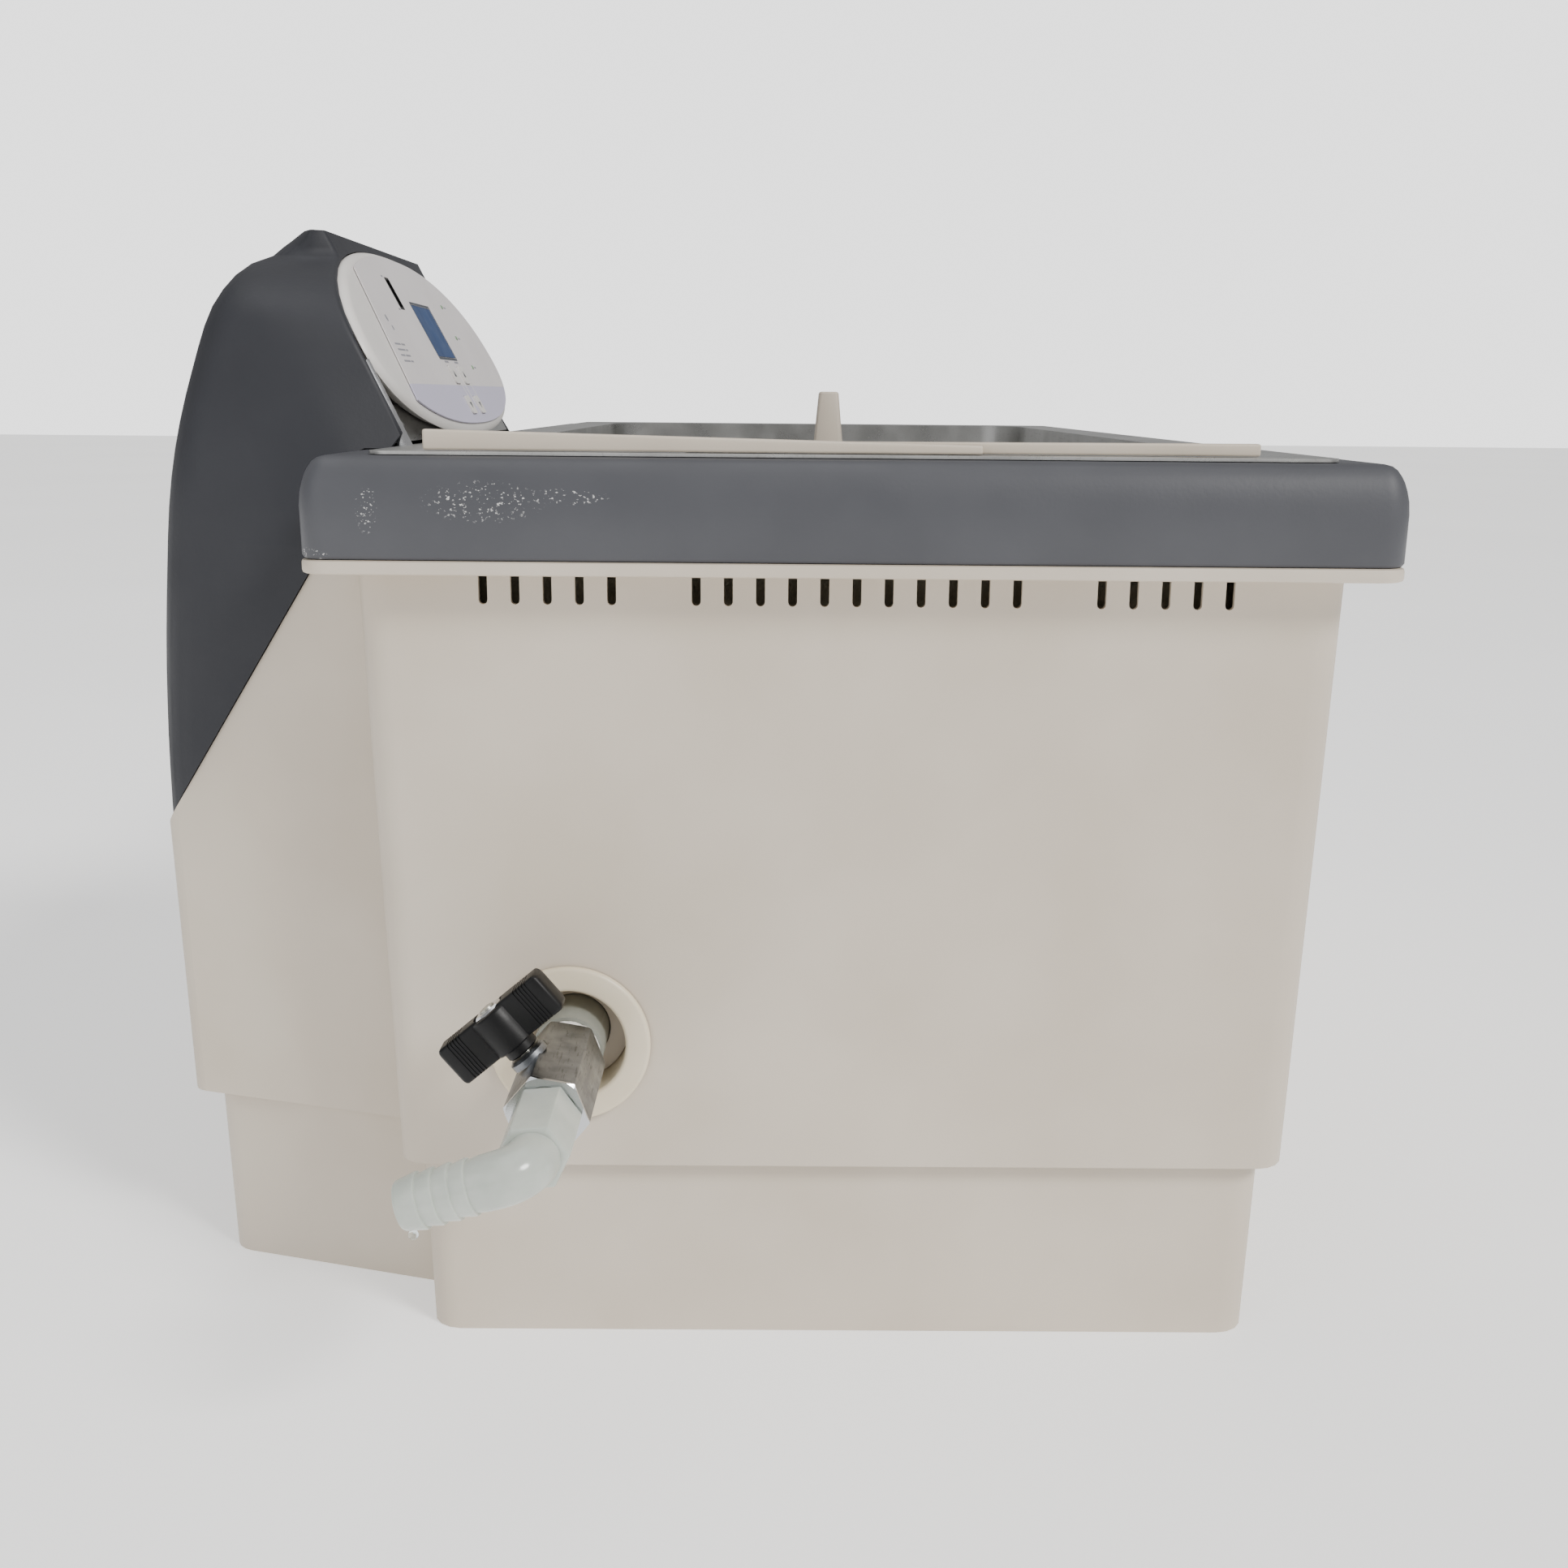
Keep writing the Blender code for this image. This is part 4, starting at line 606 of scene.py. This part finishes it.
def build_legends():
    """Plain marks: arrows on the keys, bars where labels go, and a frame for the display."""
    for key, (u, v) in KEYS.items():
        up = 1 if key.endswith("up") else -1
        arrow = [Vector((u - 0.0022, v - 0.0012 * up)), Vector((u + 0.0022, v - 0.0012 * up)),
                 Vector((u, v + 0.0020 * up))]
        flat_print(key + "_arrow", [arrow[::up]], DARK_PRINT, FILM_TOP + KEY_PROUD, INK,
                   BODY_OF["key_" + key])
    bars = []
    for row, widths in enumerate(((0.0110, 0.0070), (0.0140, 0.0040), (0.0080, 0.0090),
                                  (0.0120, 0.0050))):
        u = -0.1010
        for width in widths:
            bars.append(rectangle(width / 2, 0.0004, 0.0, 1, (u + width / 2, -0.0020 - 0.0026
                                                              * row)))
            u += width + 0.0016
    for u in (-0.0035, 0.0210):
        bars.append(rectangle(0.0046, 0.0005, 0.0, 1, (u, -0.0082)))
    for u, v in ((0.0716, 0.0233), (0.0649, 0.0060), (0.0658, -0.0100)):
        bars.append(rectangle(0.0026, 0.0004, 0.0, 1, (u + 0.0030, v)))
    for v in (0.0320, 0.0162):
        bars.append(rectangle(0.0016, 0.0004, 0.0, 1, (SWITCH[0] - 0.0080, v)))
    bars += [oval(-0.0888, 0.0101, 0.0016, 0.0016), oval(-0.0865, 0.0057, 0.0012, 0.0012)]
    flat_print("panel_legends", bars)
    strips = [rectangle(0.0006, 0.0085, 0.0, 1, (u, -0.0228)) for u in (0.0048, 0.0128, 0.0293)]
    flat_print("key_dividers", strips, WHITE)
    u, v, width, height = LCD
    outer = rectangle(width / 2 + 0.0016, height / 2 + 0.0016, 0.0012, 4, (u, v))
    inner = rectangle(width / 2 + 0.0004, height / 2 + 0.0004, 0.0004, 4, (u, v))
    loops = [[FACE @ p for p in at_height(o, w)] for o, w in
             ((outer, FILM_TOP - 0.0001), (outer, FILM_TOP + 0.00006),
              (inner, FILM_TOP + 0.00006), (inner, FILM_TOP - 0.0001))]
    piece("display_border", skin(loops, join_ends=True), DARK_PRINT, "membrane_film")
    lenses = bmesh.new()
    for u, v in ((0.0666, 0.0233), (0.0599, 0.0060), (0.0608, -0.0100)):
        turned([(0.0, -0.0002), (0.0013, -0.0002), (0.0011, 0.0003), (0.0006, 0.0005),
                (0.0, 0.0006)], FACE @ Matrix.Translation((u, v, FILM_TOP)), 20, lenses)
    piece("status_lights", lenses, LIGHT, "membrane_film")


# ---------------------------------------------------------------- fastener heads

def head_tree():
    """Fastener heads on points: each head faces along the point's own direction."""
    tree = bpy.data.node_groups.new("fastener heads", "GeometryNodeTree")
    sockets = [("Points", "NodeSocketGeometry", None), ("Head Radius", "NodeSocketFloat", 0.0018),
               ("Head Height", "NodeSocketFloat", 0.0009), ("Recess Width", "NodeSocketFloat",
                                                            0.0004),
               ("Cross Recess", "NodeSocketBool", True), ("Finish", "NodeSocketMaterial", None)]
    for name, kind, value in sockets:
        socket = tree.interface.new_socket(name=name, in_out="INPUT", socket_type=kind)
        if value is not None:
            socket.default_value = value
    tree.interface.new_socket(name="Heads", in_out="OUTPUT", socket_type="NodeSocketGeometry")
    given = add_node(tree, "NodeGroupInput").outputs
    flat = add_node(tree, "ShaderNodeMath", {0: given["Head Height"], 1: given["Head Radius"]},
                    operation="DIVIDE")
    squash = add_node(tree, "ShaderNodeCombineXYZ", {"X": 1.0, "Y": 1.0,
                                                     "Z": flat.outputs["Value"]})
    ball = add_node(tree, "GeometryNodeMeshUVSphere", {"Segments": 24, "Rings": 12,
                                                       "Radius": given["Head Radius"]})
    dome = add_node(tree, "GeometryNodeTransform", {"Geometry": ball.outputs["Mesh"],
                                                    "Scale": squash.outputs["Vector"]})
    long = add_node(tree, "ShaderNodeMath", {0: given["Head Radius"], 1: 1.1},
                    operation="MULTIPLY")
    deep = add_node(tree, "ShaderNodeMath", {0: given["Head Height"], 1: 1.2},
                    operation="MULTIPLY")
    cutters = []
    for first, second in (("X", "Y"), ("Y", "X")):
        size = add_node(tree, "ShaderNodeCombineXYZ", {first: long.outputs["Value"],
                                                       second: given["Recess Width"],
                                                       "Z": deep.outputs["Value"]})
        lift = add_node(tree, "ShaderNodeCombineXYZ", {"Z": given["Head Height"]})
        bar = add_node(tree, "GeometryNodeMeshCube", {"Size": size.outputs["Vector"]})
        cutters.append(add_node(tree, "GeometryNodeTransform",
                                {"Geometry": bar.outputs["Mesh"],
                                 "Translation": lift.outputs["Vector"]}))
    crossed = dome
    for cutter in cutters:
        crossed = add_node(tree, "GeometryNodeMeshBoolean", {"Mesh 1": crossed.outputs[0],
                                                             "Mesh 2": cutter.outputs[0]},
                           operation="DIFFERENCE", solver="EXACT")
    head = add_node(tree, "GeometryNodeSwitch", {"Switch": given["Cross Recess"],
                                                 "False": dome.outputs[0],
                                                 "True": crossed.outputs[0]},
                    input_type="GEOMETRY")
    facing = add_node(tree, "GeometryNodeInputNamedAttribute", {"Name": "facing"},
                      data_type="FLOAT_VECTOR")
    turn = add_node(tree, "FunctionNodeAlignRotationToVector",
                    {"Vector": facing.outputs["Attribute"]}, axis="Z")
    placed = add_node(tree, "GeometryNodeInstanceOnPoints",
                      {"Points": given["Points"], "Instance": head.outputs["Output"],
                       "Rotation": turn.outputs["Rotation"]})
    real = add_node(tree, "GeometryNodeRealizeInstances",
                    {"Geometry": placed.outputs["Instances"]})
    done = add_node(tree, "GeometryNodeSetMaterial", {"Geometry": real.outputs["Geometry"],
                                                      "Material": given["Finish"]})
    add_node(tree, "NodeGroupOutput", {"Heads": done.outputs["Geometry"]})
    return tree


HEADS = head_tree()


def fasteners(name, spots, look, slot, body="bath", **inputs):
    """Heads at (point, direction) spots, made by the tree and turned into a plain mesh."""
    mesh = bpy.data.meshes.new(name)
    mesh.from_pydata([point for point, _ in spots], [], [])
    facing = mesh.attributes.new("facing", "FLOAT_VECTOR", "POINT")
    facing.data.foreach_set("vector", [x for _, way in spots for x in way])
    obj = bpy.data.objects.new(name, mesh)
    bpy.context.scene.collection.objects.link(obj)
    modifier = obj.modifiers.new("heads", "NODES")
    modifier.node_group = HEADS
    keys = {i.name: i.identifier for i in HEADS.interface.items_tree if i.in_out == "INPUT"}
    modifier[keys["Finish"]] = look
    for label, value in inputs.items():
        modifier[keys[label.replace("_", " ").title()]] = value
    piece(name, settled(obj), look, slot, body, crease=40)


def tower_rear(z):
    """Y of the tower's leaning rear wall at a height."""
    return 0.2740 + 0.0259 * (z - 0.0748)


def build_fasteners():
    out = FACE.to_3x3() @ Vector((0, 0, 1))
    plate = -0.0100
    spots = [(FACE @ Vector((u, v, plate)), out) for u, v in
             ((-0.115, -0.012), (-0.116, -0.032), (-0.039, -0.035),
              (0.103, -0.012), (0.104, -0.032), (0.036, -0.035))]
    fasteners("throat_rivets", spots, STAINLESS, "stainless", head_radius=0.0021,
              head_height=0.0009, cross_recess=False)
    rear = [((x, tower_rear(z), z), (0, 1, 0)) for x in (-0.255, -0.137, -0.019)
            for z in (0.090, 0.175)]
    fasteners("rear_screws", rear, ZINC, "zinc_steel", head_radius=0.0030, head_height=0.0014,
              recess_width=0.0007)
    base = [((x, y, 0.0012), (0, 0, -1)) for x in (-0.335, 0.0, 0.335) for y in (-0.150, 0.150)]
    fasteners("base_screws", base, ZINC, "zinc_steel", head_radius=0.0030, head_height=0.0012,
              recess_width=0.0007)


# ---------------------------------------------------------------- drain, valve and elbow

def drain_axis(x):
    """Frame on the drain's axis: its Z points out of the bath, towards -X."""
    turn = Matrix(((0, 0, -1, 0), (0, 1, 0, 0), (1, 0, 0, 0), (0, 0, 0, 1)))
    return Matrix.Translation((x, DRAIN_Y, DRAIN_Z)) @ turn


def build_drain():
    sleeve, bead = RING_HOLE + 0.0028, 0.0016
    profile = [(RING_HOLE, -0.0180), (sleeve, -0.0180), (sleeve, 0.0012), (RING_RADIUS, 0.0012)]
    profile += arc((RING_RADIUS - bead, 0.0018), bead, 0, 90)
    profile += arc((RING_HOLE + bead, 0.0018), bead, 90, 180)
    stand_in("drain_ring", turned(profile, drain_axis(DRAIN_WALL_X), 96), 40)
    baffle = [(0.0137, -0.0176), (0.0207, -0.0176), (0.0207, -0.0164), (0.0137, -0.0164)]
    piece("drain_baffle", turned(baffle, drain_axis(DRAIN_WALL_X), 64), BEIGE, "beige_abs")
    ragged = []
    steps, rows = 96, ((0.0106, 0.0150, 1.0), (0.0116, 0.0149, 1.0), (0.0124, 0.0158, 0.5),
                       (0.0122, 0.0180, 0.0), (0.0119, 0.0196, 0.0), (0.0106, 0.0196, 0.0))
    for step in range(steps):
        turn = 2 * math.pi * step / steps
        tear = 0.0007 * math.sin(3 * turn + 0.6) + 0.0004 * math.sin(11 * turn) \
            + 0.0003 * math.sin(23 * turn + 1.1)
        crease = 0.00010 * math.sin(17 * turn) + 0.00006 * math.sin(41 * turn)
        ragged.append([drain_axis(-0.3500) @ Vector(((r + crease) * math.cos(turn),
                                                     (r + crease) * math.sin(turn),
                                                     z + tear * share))
                       for r, z, share in rows])
    stand_in("thread_tape", skin(ragged, join_ends=True), 50)


def stem_axis(lift):
    """Frame on the valve stem's axis, at a distance from the drain's axis."""
    middle = (VALVE_X[0] + VALVE_X[1]) / 2
    return (Matrix.Translation((middle, DRAIN_Y, DRAIN_Z)) @ Matrix.Rotation(-STEM_LEAN, 4, "X")
            @ Matrix.Translation((0, 0, lift)))


def build_handle():
    """T handle: a grooved bar through a round hub, with a nut in its recess."""
    thick, length, tall = HANDLE_BAR
    place = stem_axis(HANDLE_LIFT)
    loops, ease, groove, pitch = [], 0.0013, 0.00032, 0.00130
    ends = [(0.0, 0.0016), (0.0004, 0.0008), (0.0009, 0.0003), (0.0016, 0.0)]
    stations = [(-length / 2 + y, inset) for y, inset in ends]
    for k in range(5):
        start = -length / 2 + 0.0048 + k * pitch
        stations += [(start, 0.0), (start + 0.0001, groove), (start + 0.0005, groove),
                     (start + 0.0006, 0.0)]
    stations += [(-y, inset) for y, inset in reversed(stations)]
    for y, inset in stations:
        outline = rounded([(-thick / 2 + inset, inset), (thick / 2 - inset, inset),
                           (thick / 2 - inset, tall - inset), (-thick / 2 + inset, tall - inset)],
                          [ease] * 4, 4)
        loops.append([place @ Vector((p.x, y, p.y)) for p in outline])
    hub = [(0.0, -0.0036), (0.0056, -0.0036), (0.0062, -0.0030), (0.0062, 0.0), (0.0080, 0.0),
           (0.0086, 0.0006)]
    hub += arc((0.0074, tall - 0.0018), 0.0012, 0, 90, 4) + [(0.0, tall - 0.0006)]
    bore = [(0.0, -0.010), (0.0031, -0.010), (0.0031, tall - 0.0030), (0.0064, tall - 0.0030),
            (0.0066, tall + 0.004), (0.0, tall + 0.004)]
    bm = joined(skin(loops, True, True), [turned(hub, place, 48)], "UNION")
    stand_in("valve_handle", joined(bm, [turned(bore, place, 40)]), 30)
    nut = rounded([(0.0060 * math.cos(math.radians(60 * i)), 0.0060 * math.sin(math.radians(
        60 * i))) for i in range(6)], [0.0003] * 6, 2)
    levels = [(0.93, tall - 0.0027), (1.0, tall - 0.0024), (1.0, tall - 0.0006),
              (0.86, tall + 0.0002)]
    solid = skin([[place @ Vector((p.x * s, p.y * s, z)) for p in nut] for s, z in levels],
                 True, True)
    stand_in("handle_nut", joined(solid, [turned([(0.0, 0.0), (0.0031, 0.0), (0.0031, 0.03),
                                                  (0.0, 0.03)], place, 32)]), 30)


def build_valve_body():
    """Hexagonal forging, turned to a chamfer at both ends and with a waist at its middle."""
    middle, half = (VALVE_X[0] + VALVE_X[1]) / 2, (VALVE_X[1] - VALVE_X[0]) / 2
    corner = VALVE_FLATS / math.sqrt(3)
    turn = Matrix.Rotation(math.pi / 2 - STEM_LEAN, 4, "Z")
    hexagon = rounded([(corner * math.cos(math.radians(60 * i + 30)),
                        corner * math.sin(math.radians(60 * i + 30))) for i in range(6)],
                      [0.0006] * 6, 3)
    place = drain_axis(middle) @ turn
    solid = skin([[place @ Vector((p.x, p.y, z)) for p in hexagon] for z in (-half, half)],
                 True, True)
    slope, rim = corner * 1.10, VALVE_FLATS / 2 * 0.97
    limit = [(0.0, -half - 0.001), (rim, -half - 0.001), (slope, -half + 0.0020),
             (slope, half - 0.0020), (rim, half + 0.001), (0.0, half + 0.001)]
    bore = [(0.0, -0.04), (0.0108, -0.04), (0.0108, -0.0118), (0.0086, -0.0112),
            (0.0086, 0.0112), (0.0108, 0.0118), (0.0108, 0.04), (0.0, 0.04)]
    stem = [(0.0, 0.004), (0.0033, 0.004), (0.0033, 0.03), (0.0, 0.03)]
    bm = joined(solid, [turned(limit, drain_axis(middle), 96)], "INTERSECT")
    bm = joined(bm, [turned(bore, drain_axis(middle), 48), turned(stem, stem_axis(0), 24)])
    stand_in("valve_body", bm, 24)


def build_elbow():
    """Moulded elbow: spigot, round bend and ribbed barb in one sweep, with a hex collar."""
    out = Vector((0.0, math.cos(BARB_DROP), -math.sin(BARB_DROP)))
    bend, reach = Vector((ELBOW_X, DRAIN_Y, DRAIN_Z)), 0.0096
    neck, bore, ring_steps = 0.0092, 0.0066, 48
    run = Vector((-1, 0, 0))
    side = run.cross(out).normalized()
    centre = bend - run * reach + out * reach
    spots = []  # centre, direction and outer radius of each ring
    for x, radius in ((-0.4150, 0.0098), (-0.4156, 0.0104), (-0.4246, 0.0104), (-0.4247, neck),
                      (-0.4400, neck)):
        spots.append((Vector((x, DRAIN_Y, DRAIN_Z)), run, radius))
    for i in range(13):
        angle = math.pi / 2 * i / 12
        spots.append((centre - out * reach * math.cos(angle) + run * reach * math.sin(angle),
                      run * math.cos(angle) + out * math.sin(angle), neck))
    barb = [(0.0140, 0.0091), (0.0160, 0.0089), (0.0176, 0.0086)]
    for k in range(4):
        start = 0.0185 + k * 0.0055
        barb += [(start - 0.0002, 0.0086), (start, 0.0093), (start + 0.0006, 0.0094),
                 (start + 0.0048, 0.0085)]
    barb += [(0.0412, 0.0083), (0.0420, 0.0081), (0.0425, 0.0077)]
    spots += [(bend + out * s, out, r) for s, r in barb]
    loops, hollow = [], []
    for spot, way, radius in spots:
        up = way.cross(side).normalized()
        turns = [2 * math.pi * i / ring_steps for i in range(ring_steps)]
        ring = [side * math.cos(turn) + up * math.sin(turn) for turn in turns]
        loops.append([spot + r * radius for r in ring])
        hollow.append([spot + r * bore for r in ring])
    solid = skin(loops + hollow[::-1], join_ends=True)
    collar = VALVE_X[0] - GAP - ELBOW_X - 0.0090
    place = drain_axis(VALVE_X[0] - GAP) @ Matrix.Rotation(math.radians(35), 4, "Z")
    hexagon = rounded([(math.cos(math.radians(60 * i)), math.sin(math.radians(60 * i)))
                       for i in range(6)], [0.06] * 6, 3)
    levels = [(0.0118, 0.0), (0.0124, 0.0008), (0.0123, collar - 0.0012), (0.0119, collar - 0.0004),
              (0.0112, collar)]
    outer = [[place @ Vector((p.x * r, p.y * r, z)) for p in hexagon] for r, z in levels]
    inner = [[place @ Vector((p.x * 0.0088 / p.length, p.y * 0.0088 / p.length, z))
              for p in hexagon] for z in (collar, 0.0)]
    stand_in("hose_elbow", joined(solid, [skin(outer + inner, join_ends=True)], "UNION"), 32)
    drop = turned([(0.0, -0.0030), (0.0009, -0.0028), (0.0016, -0.0020), (0.0017, -0.0012),
                   (0.0012, -0.0002), (0.0007, 0.0006), (0.0, 0.0010)],
                  Matrix.Translation(bend + out * 0.0395 + Vector((0, -0.0008, -0.0094))), 24)
    piece("water_drop", drop, WATER, "natural_nylon")


# ---------------------------------------------------------------- build

build_rim()
build_trim()
build_rails()
build_pod()
build_edge_strip()
build_legends()
build_fasteners()
build_drain()
build_valve_body()
build_handle()
build_elbow()
for node_name in ("housing", "base_pan", "tower_shell", "console_hood", "tank", "shaking_tray",
                  "tray_handle", "drain_pipe", "packing_gland", "valve_stem", "fuse_holder",
                  "valve_nipple", "temperature_probe", "heater_element", "power_inlet",
                  "power_rocker", "switch_frame", "display_window", "crank_shaft",
                  "crank_pulley", "motor_pulley", "drive_motor", "idler_crank",
                  "key_temp_up", "key_temp_down", "key_speed_up", "key_speed_down"):
    smoothed(node_name, 32)


# ---------------------------------------------------------------- floor, light and camera

AMBIENT, BACKDROP = 0.38, 2.2  # world strength as light, and as the camera sees it


def build_stage():
    """Pale floor and backdrop."""
    bm = bmesh.new()
    bmesh.ops.create_grid(bm, x_segments=2, y_segments=2, size=14.0)
    mesh = bpy.data.meshes.new("floor")
    bm.to_mesh(mesh)
    bm.free()
    floor = bpy.data.objects.new("floor", mesh)
    floor.location.z = -0.0002
    bpy.context.scene.collection.objects.link(floor)
    mesh.materials.append(material("matt backdrop paper", "#f2f2f2", "#f6f6f6", (0.85, 0.95),
                                   grain_mm=5.0, depth_mm=0.01, mottle_mm=900,
                                   sockets={"Emission Color": (1.0, 1.0, 1.0, 1.0),
                                            "Emission Strength": 0.55}))
    world = bpy.context.scene.world or bpy.data.worlds.new("studio")
    bpy.context.scene.world = world
    world.use_nodes = True
    tree = world.node_tree
    background = tree.nodes["Background"]
    background.inputs["Color"].default_value = (1.0, 1.0, 1.0, 1.0)
    seen = add_node(tree, "ShaderNodeLightPath").outputs["Is Camera Ray"]
    level = add_node(tree, "ShaderNodeMapRange", {"Value": seen, "To Min": AMBIENT,
                                                  "To Max": BACKDROP})
    tree.links.new(level.outputs["Result"], background.inputs["Strength"])


def sun_light(name, source, strength, spread, colour):
    """A large far softbox: even over the whole floor, with soft-edged shadows."""
    light = bpy.data.lights.new(name, "SUN")
    light.energy, light.angle, light.color = strength, math.radians(spread), colour
    obj = bpy.data.objects.new(name, light)
    obj.rotation_euler = (-Vector(source)).to_track_quat("-Z", "Y").to_euler()
    bpy.context.scene.collection.objects.link(obj)


def area_light(name, place, target, size, power, colour=(1, 1, 1)):
    light = bpy.data.lights.new(name, "AREA")
    light.shape, light.size, light.energy, light.color = "DISK", size, power, colour
    obj = bpy.data.objects.new(name, light)
    obj.location = place
    obj.rotation_euler = (Vector(target) - Vector(place)).to_track_quat("-Z", "Y").to_euler()
    bpy.context.scene.collection.objects.link(obj)


def build_camera():
    """Standing just off the drain end, a little above the rim, looking slightly down."""
    yaw, pitch, roll = -0.0061, 0.2184, 0.009
    place = Vector((-0.9796, 0.0261, 0.365))
    ahead = Vector((math.cos(yaw) * math.cos(pitch), math.sin(yaw) * math.cos(pitch),
                    -math.sin(pitch)))
    right = ahead.cross(Vector((0, 0, 1))).normalized()
    up = right.cross(ahead)
    c, s = math.cos(roll), math.sin(roll)
    right, up = right * c + up * s, up * c - right * s
    lens = bpy.data.cameras.new("camera")
    lens.sensor_width, lens.lens, lens.shift_x = 36.0, 40.04, -0.00276
    camera = bpy.data.objects.new("camera", lens)
    camera.matrix_world = Matrix.Translation(place) @ Matrix((right, up, -ahead)).transposed(
        ).to_4x4()
    bpy.context.scene.collection.objects.link(camera)
    bpy.context.scene.camera = camera


build_stage()
sun_light("key", (-1.25, -1.45, 1.5), 2.6, 16, (1.0, 0.985, 0.96))
area_light("fill", (-1.7, 1.2, 1.0), (-0.2, 0.0, 0.2), 1.6, 7, (0.96, 0.98, 1.0))
area_light("top", (-0.4, 0.2, 2.4), (0.0, 0.0, 0.2), 2.0, 16)
build_camera()
